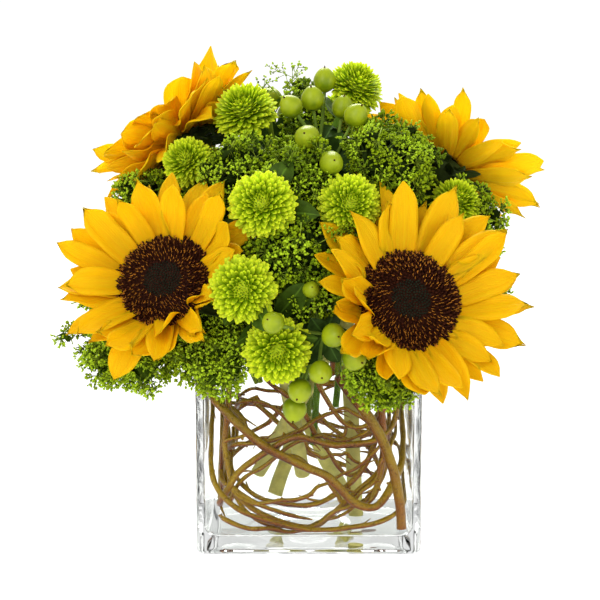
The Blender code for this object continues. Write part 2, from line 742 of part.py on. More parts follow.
def make_sprig(space, name, fork, fruit, stem, dice):
    """Berries on branchlets from one fork, with a few pointed leaves."""
    owner = "berries_" + name
    shapes = [stem]
    for place, facing, radius in fruit:
        start, facing = mm(place), Vector(facing).normalized()
        fruit_body = berry(start, facing, radius * MM)
        heel = start - facing * radius * 0.8 * MM
        for attempt in range(60):
            sway = Vector([dice.uniform(-1, 1) for _ in range(3)]) * attempt * TRIAL_STEP
            bend = heel.lerp(fork, 0.4) - facing * 4 * MM + sway
            branch = tube([heel, bend, fork], [BERRY_TWIG] * 3, 3)
            if space.free(branch, owner):
                shapes += [fruit_body, branch]
                break
        else:
            raise RuntimeError("no way for a berry of " + owner)
    for k in range(3):
        way = (Vector((dice.uniform(-1, 1), dice.uniform(-1, 1), dice.uniform(-0.2, 1)))
               + (fork - Vector((0, 0, fork.z))).normalized() * 1.2).normalized()
        blade_leaf = leaf(fork + way * 1 * MM, fork + way * dice.uniform(26, 38) * MM,
                          11 * MM, 1 * MM, UP)
        if space.free(blade_leaf, owner):
            shapes.append(blade_leaf)
    smooth(fuse(owner, shapes, "berry_green", space))


# --------------------------------------------------------------------- fillers
def cushion(centre, outward, wide, deep, dice):
    """A lumpy cushion of 80 faces, wide across and less deep along outward."""
    form = bmesh.new()
    bmesh.ops.create_icosphere(form, subdivisions=2, radius=1)
    turn = frame_at(centre, outward)
    verts = [turn @ (Vector((v.co.x * wide, v.co.y * wide, v.co.z * deep))
                     * dice.uniform(0.72, 1.08)) for v in form.verts]
    faces = [tuple(v.index for v in f.verts) for f in form.faces]
    form.free()
    return facing_out((verts, faces))


def club(root, way, long, radius):
    """A short spray of eight faces that widens from its root to a head of buds."""
    side = way.orthogonal().normalized()
    other = way.cross(side)
    neck = root + way * long * 0.74
    ring = [neck + side * radius, neck + other * radius, neck - side * radius,
            neck - other * radius]
    return facing_out(rings_to_shape([ring], root, root + way * long))


def spray(root, way, long, dice, dense):
    """Sprays stand close on a dense tuft, and on a twig of their own on a thin one."""
    if dense:
        return [club(root, way, long, dice.uniform(4.6, 6.4) * MM)]
    tip = root + way * long
    return [spike(root, tip + way * 1 * MM, 1.0 * MM),
            bud(tip, dice.uniform(3.0, 4.4) * MM, 1.3, way)]


def make_filler(space, name, centre, reach, dense, stem, dice):
    """A tuft: its stem, a lumpy core if it is dense, and sprays of buds that stand out."""
    owner = "filler_" + name
    shapes = [stem]
    outward = (centre - Vector((0, 0, 0.6 * centre.z))).normalized()
    if dense:
        wide = reach * (1.0 if centre.z < VASE_HEIGHT + 10 * MM else 1.25)
        core = space.fit_star(
            centre, cushion(centre, outward, wide, reach * 0.72, dice), owner)
        shapes.append(core)
    wanted = DENSE_SPRAYS if dense else AIRY_SPRAYS
    grown = 0
    for _ in range(SPRAY_TRIES):
        way = Vector([dice.gauss(0, 1) for _ in range(3)]).normalized()
        if way.dot(outward) < 0.15 or grown >= wanted:
            continue
        root = centre + way * reach * (0.30 if dense else 0.0)
        long = reach * (dice.uniform(0.66, 0.84) if dense else dice.uniform(0.6, 1.0))
        twig = spray(root, way, long, dice, dense)
        if all(space.free(piece, owner) for piece in twig):
            shapes += twig
            grown += 1
    smooth(fuse(owner, shapes, "filler_green", space), 30)


# -------------------------------------------------------------------- assembly
def leave_way(place, facing):
    """The way a stem leaves its bloom: straight back, or upwards where it hangs low."""
    low = max(0.0, min(1.0, (VASE_HEIGHT + 32 * MM - place.z) / (40 * MM)))
    back = -Vector(facing).normalized()
    inward = -Vector((place.x, place.y, 0)).normalized()
    return (back * (1 - low) + (UP + inward * 0.35) * low).normalized()


def main():
    clear_scene()
    dice = random.Random(7)
    space = Space()
    make_vase(space)
    make_willow(space)

    # Every bloom takes its room first, and the stems find their way between them.
    blooms = {name: frame for name, frame in sunflower_frames()}
    for name, frame in blooms.items():
        make_disc(space, name, frame)
        space.add(calyx_bowl(frame), "sunflower_" + name + "_stem")
    heads = {}
    for name, (place, facing, radius) in MUMS.items():
        heads[name] = mum_head(frame_at(mm(place), facing), radius * MM)
        space.add(heads[name], "mum_" + name)
    for name, (_, fruit) in BERRY_SPRIGS.items():
        for place, facing, radius in fruit:
            space.add(berry(mm(place), facing, radius * MM), "berries_" + name)

    for name, frame in blooms.items():
        owner = "sunflower_" + name + "_stem"
        mouth, foot = (mm(p) for p in SUNFLOWER_FEET[name])
        start = frame @ Vector((0, 0, -13 * MM))
        stem = route_stem(space, owner, start, leave_way(start, SUNFLOWERS[name][1]),
                          SUNFLOWER_STEM, 5, dice, mouth, foot)
        make_calyx(space, name, frame, stem, dice)
    for name, (place, facing, _) in MUMS.items():
        owner = "mum_" + name
        stem = route_stem(space, owner, mm(place), leave_way(mm(place), facing), MUM_STEM, 3,
                          dice)
        smooth(fuse(owner, [heads[name], stem], "mum_lime", space), 20)
    for name, (fork, fruit) in BERRY_SPRIGS.items():
        stem = route_stem(space, "berries_" + name, mm(fork), leave_way(mm(fork), UP),
                          BERRY_STEM, 3, dice)
        make_sprig(space, name, mm(fork), fruit, stem, dice)
    stalks = {}
    for name, (place, _, _) in FILLERS.items():
        out = mm(place) - Vector((0, 0, 0.6 * place[2] * MM))
        stalks[name] = route_stem(space, "filler_" + name, mm(place), leave_way(mm(place), out),
                                  FILLER_STEM, 3, dice)
        space.add(stalks[name], "filler_" + name)
    for name, frame in blooms.items():
        make_rays(space, name, frame, dice)
    for name, (place, reach, dense) in FILLERS.items():
        make_filler(space, name, mm(place), reach * MM, dense, stalks[name], dice)


main()
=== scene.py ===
"""Flower arrangement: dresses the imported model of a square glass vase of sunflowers,
button mums, green berries, leafy filler and curly willow.

Metres, +Z up, -Y is the front. Every finished piece sits at the origin with its
place in its mesh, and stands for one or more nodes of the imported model."""
import json
import math
import random

import bmesh
import bpy
from bpy.props import (BoolProperty, FloatProperty, FloatVectorProperty, IntProperty,
                       PointerProperty)
from mathutils import Matrix, Vector, noise as ripples

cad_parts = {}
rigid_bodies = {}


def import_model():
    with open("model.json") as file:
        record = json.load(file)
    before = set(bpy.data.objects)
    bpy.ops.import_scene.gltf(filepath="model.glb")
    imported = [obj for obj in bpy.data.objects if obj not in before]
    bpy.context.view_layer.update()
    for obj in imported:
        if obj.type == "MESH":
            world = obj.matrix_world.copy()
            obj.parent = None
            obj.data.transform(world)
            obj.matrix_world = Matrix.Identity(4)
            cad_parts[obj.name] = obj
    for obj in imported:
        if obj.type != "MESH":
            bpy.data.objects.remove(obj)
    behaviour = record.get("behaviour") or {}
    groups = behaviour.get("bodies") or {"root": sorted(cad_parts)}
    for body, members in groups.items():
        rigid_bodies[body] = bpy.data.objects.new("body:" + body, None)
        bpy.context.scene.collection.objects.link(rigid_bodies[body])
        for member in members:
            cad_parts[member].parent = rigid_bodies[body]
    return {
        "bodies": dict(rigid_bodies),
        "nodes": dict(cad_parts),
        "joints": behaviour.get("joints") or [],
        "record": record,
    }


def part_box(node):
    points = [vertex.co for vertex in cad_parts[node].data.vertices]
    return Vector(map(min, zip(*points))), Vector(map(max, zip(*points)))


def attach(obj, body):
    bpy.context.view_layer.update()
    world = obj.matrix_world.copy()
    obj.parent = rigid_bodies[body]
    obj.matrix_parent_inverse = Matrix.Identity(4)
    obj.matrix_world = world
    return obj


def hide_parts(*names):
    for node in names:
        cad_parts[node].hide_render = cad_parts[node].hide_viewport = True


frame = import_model()

bl_info = {
    "name": "Flower Arrangement",
    "version": (1, 0, 0),
    "blender": (4, 5, 0),
    "location": "View3D > Sidebar > Arrangement",
    "description": "Builds sunflowers, mums, berries, filler and willow in a glass vase",
    "category": "Object",
}

MM = 0.001
UP = Vector((0, 0, 1))
GOLDEN = math.pi * (3 - math.sqrt(5))      # angle from one floret to the next

# The vase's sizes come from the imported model.
VASE_LOW, VASE_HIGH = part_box("vase")
VASE_SIDE = VASE_HIGH.x - VASE_LOW.x
VASE_HEIGHT = VASE_HIGH.z - VASE_LOW.z
VASE_WALL = 5 * MM
VASE_FLOOR = 9 * MM
INNER_HALF = VASE_SIDE / 2 - VASE_WALL

# Places in mm and facings of the blooms.
SUNFLOWERS = {
    # name: (place, facing, size, way the curled petals point, lift of the petals, both in
    #        degrees, length and width of the petals as shares, by how much of its length
    #        a curled petal is shorter, the layers of petals, and the seed)
    "front_left": ((-77, -89, 161), (-0.21, -0.82, 0.53), 0.97, -28, 0, 1.05, 1.0, 0.36, 2, 243),
    "front_right": ((53, -93, 151), (0.25, -0.85, 0.46), 1.03, 200, 0, 1.08, 1.0, 0.36, 2, 125),
    "upper_left": ((-73, 20, 226.5), (-0.63, 0.38, 0.68), 0.97, 150, -12, 1.03, 1.20, 1.0, 3, 277),
    "upper_right": ((80, 18, 208), (0.43, 0.68, 0.59), 0.97, 250, -14, 1.04, 0.96, 0.36, 2, 225),
    "back": ((4, 98, 172), (0.05, 0.88, 0.40), 1.0, 300, 0, 1.0, 1.0, 0.36, 2, 104),
}
MUMS = {
    # name: (place, facing, radius in mm)
    "top_left": ((-36, -22, 247), (-0.25, -0.58, 0.78), 18),
    "far_left": ((-68, -41, 221), (-0.36, -0.75, 0.55), 14.5),
    "centre_left": ((-25, -96, 205), (-0.05, -0.93, 0.36), 18),
    "centre_right": ((22, -83, 203), (0.10, -0.93, 0.34), 17),
    "middle": ((-35, -114, 162), (-0.08, -0.98, 0.15), 18),
    "low_front": ((-17, -108, 128), (0.02, -1.0, 0.0), 18.5),
    "top_right": ((27, -6, 259), (0.42, -0.45, 0.79), 16.5),
    "far_right": ((82, -44, 199), (0.25, -0.50, 0.83), 14.5),
    "back_top": ((22, 52, 238), (0.20, 0.55, 0.81), 17),
    "back_left": ((-62, 92, 158), (-0.45, 0.88, 0.15), 18),
    "back_right": ((72, 92, 154), (0.50, 0.86, 0.10), 18),
}
BERRY_SPRIGS = {
    # name: (fork, [(place, facing, radius in mm)])
    "top": ((6, -20, 226), [
        ((-10, -39, 251), (-0.5, -0.5, 0.7), 6.6), ((2, -28, 254), (-0.1, -0.4, 0.9), 7.0),
        ((9, -13, 263), (0.0, -0.2, 1.0), 6.8), ((-1, -59, 236), (-0.2, -0.9, 0.4), 7.3)]),
    "upper": ((14, -36, 220), [
        ((26, -42, 246), (0.4, -0.5, 0.8), 7.0), ((19, -25, 249), (0.1, -0.4, 0.9), 6.6),
        ((12, -74, 224), (0.2, -0.9, 0.3), 6.8)]),
    "low_front": ((8, -84, 132), [
        ((1, -103, 160), (0.1, -0.9, 0.4), 4.8), ((-19, -127, 147), (-0.4, -0.8, 0.4), 6.2),
        ((13, -112, 137), (0.3, -0.9, 0.1), 6.9), ((24, -106, 123), (0.5, -0.8, -0.1), 6.9),
        ((6, -108, 116), (0.1, -1.0, -0.2), 6.7), ((-5, -100, 104), (-0.2, -0.9, -0.4), 7.0),
        ((-8, -85, 90), (-0.1, -0.7, -0.7), 7.1)]),
    "back_low": ((-8, 84, 132), [
        ((-26, 108, 132), (-0.4, 0.9, 0.1), 6.8), ((-14, 112, 119), (0.0, 1.0, 0.0), 6.9),
        ((-30, 100, 117), (-0.4, 0.8, -0.3), 6.6), ((-5, 104, 107), (0.2, 0.9, -0.4), 7.0)]),
    "back_top": ((-20, 40, 222), [
        ((-22, 56, 246), (-0.2, 0.5, 0.8), 6.9), ((-34, 46, 242), (-0.5, 0.3, 0.8), 6.6),
        ((-12, 68, 236), (0.1, 0.8, 0.6), 7.0)]),
}
FILLERS = {
    # name: (place, reach in mm, part of the arrangement); where its sprays differ from the
    #        solid, also the share of its reach and how far in mm they are moved
    "crown_left": ((-44, -50, 221), 20, "crown", 0.88, (1, 0, -6)),
    "crown_centre": ((-5, -66, 214), 18, "crown"),
    "crown_right": ((46, -45, 224), 29, "crown", 0.84, (-5, 0, 0)),
    "heart": ((-8, -82, 180), 25, "heart"),
    "heart_low": ((-1, -84, 152), 16, "heart"),
    "skirt_left": ((-50, -86, 124), 24, "low"),
    "corner_left": ((-92, -62, 119), 25, "low"),
    "tip_left": ((-112, -38, 132), 30, "low"),
    "skirt_right": ((40, -82, 110), 22, "low"),
    "tip_top": ((-14, 2, 246), 29, "loose", 0.86, (-9, 0, -4)),
    "side_left_top": ((-106, -20, 198), 20, "left", 0.90, (12, 0, -5)),
    "side_right_top": ((100, -30, 187), 20, "right", 0.92, (-10, 0, 0)),
    "side_left": ((-98, 22, 148), 25, "left"),
    "side_right": ((100, 20, 142), 25, "right", 0.92, (-8, 0, 0)),
    "shoulder_left": ((-84, -30, 168), 22, "left"),
    "shoulder_right": ((84, -34, 158), 22, "right", 1.0, (-2, 0, 2)),
    "back_skirt_left": ((-72, 80, 122), 26, "back_low"),
    "back_skirt_right": ((76, 80, 118), 26, "back_low"),
    "back_skirt": ((14, 92, 118), 25, "back_low"),
    "back_crown": ((-2, 46, 232), 25, "back_high"),
    "back_upper_left": ((-44, 74, 198), 24, "back_high"),
    "back_upper_right": ((52, 76, 192), 25, "back_high"),
}

# Shares of bright, middle and dark sprays in each part; the rest have the first. The tints are
# painted light and painted shade, and the low and loose parts get more bright sprays as painted
# light.
SPRAY_LIGHT_SHARES = {"": (0.42, 0.36, 0.23), "low": (0.72, 0.24, 0.05),
                "crown": (0.40, 0.40, 0.21), "heart": (0.34, 0.42, 0.25),
                "loose": (0.75, 0.26, 0.0)}

# Size of the buds in the parts where they are finer, as a share of the full size.
FINE_BUDS = {"low": 0.80, "loose": 0.72, "left": 0.85, "right": 0.85, "crown": 0.90}

# Radii of the stems, and what the stems of some blooms have more than their solids.
SUNFLOWER_STEM = 4.6 * MM
MUM_STEM = 1.9 * MM
BERRY_STEM = 1.7 * MM
FILLER_STEM = 1.5 * MM
LONGER = {"mum_low_front": 34 * MM, "mum_centre_right": 34 * MM, "mum_back_right": 34 * MM,
          "berries_upper": 30 * MM}

# Degrees to either side of the curled way within which petals curl.
CURL_SPREAD = 62

# Seeds of the random draws that run through all the pieces of one kind.
WILLOW_SEED = 21
MUM_SEED = 5
BERRY_SEED = 9

# Indices of refraction, low enough that what stands in the vase stays plain to see.
GLASS_BEND = 1.19
WATER_BEND = 1.15

# Thicknesses of the thin sheets.
PETAL_THICK = 0.35 * MM
BRACT_THICK = 0.5 * MM
LEAF_THICK = 0.4 * MM

# Small tufts that fill the gaps between the blooms: the tuft that each is like, its share
# of that one's reach, and how far in mm it stands from it.
PATCHES = [("shoulder_left", 0.62, (18, 0, 26)), ("corner_left", 0.60, (-17, 0, -6)),
           ("tip_left", 0.45, (-6, 0, -14)), ("crown_right", 0.72, (4, 42, -24)),
           ("crown_left", 0.95, (30, 48, -12))]

# Willow twigs: lane, thickest and thinnest radius in mm, then keys of (bearing about
# the vase in degrees, height in mm). A lane is a layer counted inwards from the glass.
WILLOW = {
    "brace": (0, 3.2, 2.7, [(-74, 104), (-70, 97), (-56, 73), (-49.5, 50), (-46, 27), (-45, 13)]),
    "thick": (1, 2.75, 2.0, [(-215, 112), (-185, 100), (-155, 93), (-134, 84), (-116, 63),
                             (-101, 54), (-77, 42), (-64, 29), (-53, 24), (-43, 33),
                             (-20, 52), (10, 62), (45, 70), (85, 76), (120, 84), (140, 96)]),
    "knotted": (2, 2.2, 1.5, [(-240, 66), (-210, 46), (-180, 26), (-158, 20), (-138, 29),
                              (-127, 47), (-111, 60), (-96, 66), (-77, 60), (-60, 60),
                              (-42, 64), (-10, 76), (30, 90), (60, 104)]),
    "hoop": (1, 1.8, 1.3, [(-200, 86), (-170, 76), (-150, 60), (-137, 39), (-119, 21),
                           (-82, 12), (-50, 15.5), (-20, 24), (15, 33), (60, 44), (100, 56),
                           (135, 62)]),
    "low": (3, 1.8, 1.2, [(-205, 36), (-170, 44), (-140, 36), (-118, 19), (-90, 12), (-72, 18),
                          (-50, 36), (-32, 45), (0, 58), (35, 78), (60, 96)]),
    "upright": (4, 1.9, 1.2, [(-30, 110), (-27, 90), (-34, 66), (-48, 44), (-70, 28), (-95, 24),
                              (-125, 30), (-160, 46), (-190, 58)]),
}
# Thinner loose twigs wound in among them: the twig each one goes with, then the same.
LOOSE_TWIGS = [
    ("upright", 3, 1.5, 0.9, [(-200, 40), (-160, 52), (-128, 60), (-98, 66), (-82, 75),
                              (-66, 78), (-54, 76), (-30, 62), (5, 48), (40, 40)]),
    ("low", 2, 1.6, 0.9, [(-215, 70), (-180, 58), (-155, 45), (-134, 35), (-121, 27),
                          (-101, 29), (-83, 35), (-64, 43), (-40, 60), (-15, 84)]),
    ("hoop", 2, 1.4, 0.9, [(-150, 16), (-120, 12), (-95, 12), (-72, 19), (-60, 27), (-49, 37),
                           (-40, 50), (-15, 62), (20, 70), (60, 66)]),
    ("thick", 2, 1.9, 1.2, [(-133, 96), (-136, 74), (-137, 57), (-134, 42), (-128, 32),
                            (-108, 21), (-88, 18)]),
    ("thick", 3, 1.9, 1.2, [(-225, 96), (-190, 88), (-160, 82), (-134, 76), (-124, 63),
                            (-114, 58), (-95, 50), (-76, 39), (-66, 28), (-56, 23), (-44, 30),
                            (-20, 46)]),
    ("knotted", 3, 1.4, 0.9, [(-190, 36), (-160, 22), (-140, 24), (-131, 37), (-118, 50),
                              (-103, 60), (-86, 65), (-68, 60), (-45, 66), (-20, 80), (10, 92)]),
    ("hoop", 3, 1.3, 0.8, [(-175, 60), (-150, 40), (-134, 28), (-124, 17), (-104, 12),
                           (-80, 13), (-65, 17), (-50, 27), (-30, 40), (0, 52), (40, 60)]),
    ("upright", 2, 2.3, 1.8, [(-43, 112), (-42, 90), (-41, 62), (-44, 38), (-52, 24)]),
    ("low", 2, 1.5, 0.9, [(60, 90), (90, 70), (120, 50), (150, 30), (180, 22), (205, 34),
                          (222, 60), (240, 70)]),
    ("hoop", 4, 1.5, 1.0, [(-120, 96), (-100, 84), (-84, 66), (-70, 52), (-58, 40), (-44, 46),
                           (-20, 66), (20, 80)]),
    ("knotted", 3, 1.6, 1.0, [(-86, 104), (-78, 88), (-66, 74), (-54, 68), (-40, 74),
                              (-15, 90), (20, 96)]),
    ("thick", 4, 1.7, 1.1, [(20, 60), (50, 46), (80, 40), (110, 52), (140, 70), (170, 84)]),
    ("low", 4, 1.6, 1.0, [(30, 30), (60, 44), (90, 62), (120, 74), (150, 66), (180, 50)]),
    ("upright", 3, 1.7, 1.0, [(40, 100), (66, 84), (92, 78), (118, 88), (140, 100)]),
    ("hoop", 2, 1.6, 1.0, [(50, 20), (80, 30), (110, 42), (135, 34), (160, 24)]),
    ("knotted", 4, 1.2, 0.8, [(-90, 58), (-76, 66), (-64, 60), (-56, 70), (-46, 62),
                              (-34, 70), (-20, 64)]),
    ("low", 4, 1.1, 0.7, [(-88, 66), (-74, 56), (-62, 64), (-52, 56), (-42, 54), (-28, 44)]),
    ("knotted", 4, 1.3, 0.8, [(-160, 70), (-130, 84), (-105, 74), (-88, 56), (-74, 50),
                              (-58, 54), (-46, 44), (-20, 30), (20, 26)]),
]
LANE_RADII = [3.2, 2.75, 2.2, 1.8, 1.9]    # in mm
LANE_ROUNDNESS = 8
BRACE_BEARING = -58
BRACE_SPREAD = 34
COIL_GAP = 0.35 * MM

# The camera looks at the middle of the arrangement along +Y and a little down.
CAMERA_TARGET = Vector((-4.9, 0, 134.3)) * MM
CAMERA_DISTANCE = 1.2
CAMERA_TILT = 11                           # degrees
CAMERA_LENS = 123.65                       # mm on a 36 mm sensor


# ------------------------------------------------------------------- settings
def colour(name, text, default):
    return FloatVectorProperty(name=name, description=text, subtype='COLOR', size=3,
                               min=0, max=1, default=default)


def length(name, text, default):
    return FloatProperty(name=name, description=text, default=default, min=0.0,
                         subtype='DISTANCE', unit='LENGTH', precision=4)


def number(name, text, default, smallest):
    return IntProperty(name=name, description=text, default=default, min=smallest)


def strength(name, text, default):
    return FloatProperty(name=name, description=text, default=default, min=0)


class VaseSettings(bpy.types.PropertyGroup):
    corner: length("Corner", "Radius of the outer upright edges", 6.5 * MM)
    well: length("Well", "Radius of the inner upright edges", 9 * MM)
    rim: length("Rim", "Roundness of the rim and the foot", 2.2 * MM)
    dome: length("Dome", "Rise of the floor of the vase in its middle", 7 * MM)
    kick: length("Kick", "Hollow under the foot", 0.8 * MM)
    waves: length("Waves", "Depth of the waves in the inner wall", 0.5 * MM)
    water_level: length("Water level", "Height of the water above the foot", 118 * MM)
    glass: colour("Glass", "Colour of the glass", (0.985, 0.995, 0.99))
    water: colour("Water", "Colour of the water", (0.99, 1.0, 0.98))


class WillowSettings(bpy.types.PropertyGroup):
    knobs: length("Knobs", "Height of the swellings along a twig", 0.5 * MM)
    sides: number("Sides", "Faces round a twig", 12, 6)
    buds: length("Buds apart", "Least distance between two buds", 16 * MM)
    bark: colour("Bark", "Red brown of the bark", (0.33, 0.095, 0.014))
    # The olive is partly the bark's own tone and partly painted light on the upper side of a twig.
    olive_and_top_light: colour("Moss", "Olive side of the bark", (0.47, 0.29, 0.012))


class SunflowerSettings(bpy.types.PropertyGroup):
    petals: number("Petals", "Ray petals in each layer", 21, 5)
    petal_length: length("Petal length", "Length of a ray petal", 44 * MM)
    petal_width: length("Petal width", "Width of a ray petal", 15 * MM)
    florets: number("Florets", "Open florets on a disc", 760, 10)
    buds: number("Closed florets", "Closed florets in the middle", 170, 1)
    disc_radius: length("Disc radius", "Radius of the dark disc", 26 * MM)
    petal_tip: colour("Petal", "Golden yellow of the petals", (0.84, 0.46, 0.002))
    petal_base: colour("Petal base", "Orange at the foot of a petal", (0.80, 0.29, 0.002))
    # These back colours are a brighter copy of the petal colours, painted light for the sun
    # shining through the upper heads' petals from behind.
    painted_backlight_tip: colour("Petal back", "Yellow of heads seen from behind", (1.0, 0.56, 0.005))
    painted_backlight_base: colour("Petal back base", "Foot of a petal seen from behind",
                      (1.0, 0.37, 0.003))
    floret: colour("Floret", "Dark brown of the florets", (0.034, 0.008, 0.003))
    stigma: colour("Stigma", "Gold brown of the curled tips", (0.60, 0.24, 0.030))
    middle: colour("Middle", "Green black of the closed florets", (0.014, 0.016, 0.009))
    calyx: colour("Calyx", "Dark green of the back of a head", (0.034, 0.052, 0.010))
    leaf: colour("Leaf", "Green of the leaves", (0.040, 0.065, 0.006))
    stem: colour("Stem", "Pale green of the stems", (0.72, 0.67, 0.20))


class MumSettings(bpy.types.PropertyGroup):
    petals: number("Petals", "Petals of one button mum", 260, 20)
    tip: colour("Petal tip", "Pale lime of the tips", (0.68, 0.82, 0.024))
    base: colour("Petal base", "Deep green low in the bloom", (0.18, 0.31, 0.002))
    leaf: colour("Leaf", "Green of the leaves", (0.048, 0.090, 0.007))
    stem: colour("Stem", "Green of the stems", (0.16, 0.30, 0.03))
    leaf_length: length("Leaf length", "Length of a leaf", 30 * MM)


class BerrySettings(bpy.types.PropertyGroup):
    fruit: colour("Fruit", "Yellow green of a berry", (0.31, 0.38, 0.004))
    shade: colour("Fruit shade", "Deeper green of a berry", (0.15, 0.22, 0.003))
    style: colour("Tip", "Brown point of a berry", (0.07, 0.028, 0.010))
    leaf: colour("Leaf", "Blue green of the leaves", (0.042, 0.085, 0.014))
    stem: colour("Stem", "Green of the stems", (0.20, 0.30, 0.04))
    leaf_length: length("Leaf length", "Length of a leaf", 21 * MM)


class FillerSettings(bpy.types.PropertyGroup):
    apart: length("Sprays apart", "Least distance between two sprays", 5.8 * MM)
    spray_height: length("Spray height", "Height of one spray of buds", 8.6 * MM)
    bud: length("Bud", "Radius of a bud", 0.84 * MM)
    # Bright, middle and dark buds are lit and shaded copies of one green, dealt out by spray as
    # painted light and painted shade.
    bright: colour("Bright buds", "Buds in the light", (0.42, 0.60, 0.022))
    middle: colour("Middle buds", "Most of the buds", (0.27, 0.38, 0.007))
    dark: colour("Dark buds", "Older buds", (0.14, 0.22, 0.005))
    # The inner buds are painted shade: darker buds set deep in each spray.
    shade: colour("Inner buds", "Buds deep in a spray", (0.055, 0.10, 0.003))
    stalk: colour("Stalks", "Thin stalks", (0.26, 0.36, 0.03))
    # The heart is painted shade: a dark shell drawn in under the sprays of a tuft.
    heart: colour("Heart", "Dark middle of a tuft", (0.018, 0.034, 0.003))


class StageSettings(bpy.types.PropertyGroup):
    floor: colour("Floor", "Plain pale floor", (0.32, 0.32, 0.32))
    floor_glow: strength("Floor glow", "Light that the floor gives off", 0.88)
    horizon: strength("Horizon", "Strength of the even light from the sides", 0.85)
    sky: strength("Sky", "Strength of the even light from above", 0.5)
    key: strength("Key light", "Watts of the large front light", 7)
    fill: strength("Fill light", "Watts of the side light", 5)
    top: strength("Top light", "Watts of the light over the back", 28)
    show: BoolProperty(name="Floor shown", description="Make the floor", default=True)


class ArrangementSettings(bpy.types.PropertyGroup):
    vase: PointerProperty(type=VaseSettings)
    willow: PointerProperty(type=WillowSettings)
    sunflowers: PointerProperty(type=SunflowerSettings)
    mums: PointerProperty(type=MumSettings)
    berries: PointerProperty(type=BerrySettings)
    fillers: PointerProperty(type=FillerSettings)
    stage: PointerProperty(type=StageSettings)


def settings():
    return bpy.context.scene.arrangement


# ---------------------------------------------------------------- node by node
class Nodes:
    """A tree of nodes that is built node by node."""

    def __init__(self, tree):
        self.tree = tree

    def set(self, socket, value):
        """Links the input to another socket, or gives it a value."""
        if isinstance(value, bpy.types.NodeSocket):
            self.tree.links.new(value, socket)
        else:
            socket.default_value = (*value, 1) if socket.type == 'RGBA' else value

    def feed(self, node, **named):
        for key, value in named.items():
            self.set(node.inputs[key.replace("_", " ")], value)
        return node

    def node(self, kind, *values, traits=None, **named):
        """A node whose inputs are given in order, or by name."""
        node = self.tree.nodes.new(kind)
        for key, value in (traits or {}).items():
            setattr(node, key, value)
        for socket, value in zip(node.inputs, values):
            if value is not None:
                self.set(socket, value)
        return self.feed(node, **named)

    def ramp(self, factor, *stops):
        node = self.node('ShaderNodeValToRGB', factor)
        points = node.color_ramp.elements
        while len(points) < len(stops):
            points.new(0.5)
        for point, (place, tint) in zip(points, stops):
            point.position = place
            point.color = (*tint, 1)
        return node.outputs["Color"]

    def part(self, vector, axis):
        return self.node('ShaderNodeSeparateXYZ', vector).outputs[axis]


class Finish(Nodes):
    """A material round one Principled shader, whose sockets are given by name."""

    def __init__(self, name, tint, roughness, specular=0.06, **sockets):
        self.material = bpy.data.materials.new(name)
        self.material.use_nodes = True
        super().__init__(self.material.node_tree)
        self.dress(Base_Color=tint, Roughness=roughness, Specular_IOR_Level=specular,
                   **sockets)

    def dress(self, **sockets):
        self.feed(self.tree.nodes["Principled BSDF"], **sockets)
        return self.material

    def blend(self, factor, one, other, way='MIX'):
        """One colour run into another; each is a colour or a socket."""
        node = self.node('ShaderNodeMix', factor,
                         traits={"data_type": 'RGBA', "blend_type": way})
        self.set(node.inputs[6], one)
        self.set(node.inputs[7], other)
        return node.outputs[2]

    def noise(self, place, scale, detail=3.0):
        return self.node('ShaderNodeTexNoise', Vector=place, Scale=scale, Detail=detail,
                         Roughness=0.55).outputs["Fac"]

    def place(self):
        return self.node('ShaderNodeTexCoord').outputs["Object"]

    def uv(self):
        return self.node('ShaderNodeUVMap').outputs["UV"]

    def relief(self, height, strength, depth):
        """Adds a bump, and returns the finished material."""
        bump = self.node('ShaderNodeBump', Strength=strength, Distance=depth, Height=height)
        return self.dress(Normal=bump.outputs["Normal"])


# ------------------------------------------------------------------ materials
BLACK = (0, 0, 0)
WHITE = (1, 1, 1)


def scaled(tint, share):
    return tuple(min(1.0, c * share) for c in tint)


def clear_finish(name, tint, bend):
    """Glass or water, with dim highlights; bend is its index of refraction."""
    return Finish(name, tint, 0.0, 0.5, Transmission_Weight=1.0, IOR=bend,
                  Specular_Tint=(0.3, 0.3, 0.3)).material


def bark_finish(bark, olive_and_top_light):
    """Smooth bark of red brown and olive, mixed half at random and half by facing: olive on the
    upper side as painted light and dark red brown underneath as painted shade, with fine pores and
    paler scars.
    """
    finish = Finish("willow_bark", bark, 0.38, 0.35)
    place = finish.place()
    normal = finish.node('ShaderNodeNewGeometry').outputs["Normal"]
    # The facing up is painted light and shade: upper sides lean to olive, undersides to a red
    # brown darkened to painted shade.
    upper = finish.node('ShaderNodeMapRange', finish.part(normal, "Z"), -1.2, 1.2)
    side = finish.blend(0.5, finish.noise(place, 34, 2), upper.outputs["Result"])
    tone = finish.ramp(side, (0.28, scaled(bark, 0.4)), (0.44, bark), (0.60, olive_and_top_light))
    pores = finish.noise(place, 900, 4)
    specks = finish.ramp(pores, (0.33, scaled(bark, 0.35)), (0.47, WHITE))
    finish.dress(Base_Color=finish.blend(0.75, tone, specks, 'MULTIPLY'))
    return finish.relief(pores, 0.5, 0.3 * MM)


def petal_finish(name, tip, base):
    """Golden petal: orange at its foot, with fine veins that run along it."""
    finish = Finish(name, tip, 0.55, Subsurface_Weight=0.6,
                    Subsurface_Radius=(1.2, 0.9, 0.2), Subsurface_Scale=1.5 * MM)
    uv = finish.uv()
    glow = finish.ramp(finish.part(uv, "Y"), (0.0, scaled(base, 0.85)),
                       (0.34, scaled(tip, 0.85)), (0.62, tip), (1.0, scaled(tip, 0.95)))
    narrow = finish.node('ShaderNodeMapping', Vector=uv, Scale=(26, 1.3, 1)).outputs[0]
    veins = finish.noise(narrow, 1.0, 2)
    streaked = finish.blend(finish.ramp(veins, (0.32, BLACK), (0.60, WHITE)), base, glow)
    finish.dress(Base_Color=finish.blend(0.6, streaked, glow))
    return finish.relief(veins, 0.7, 0.6 * MM)


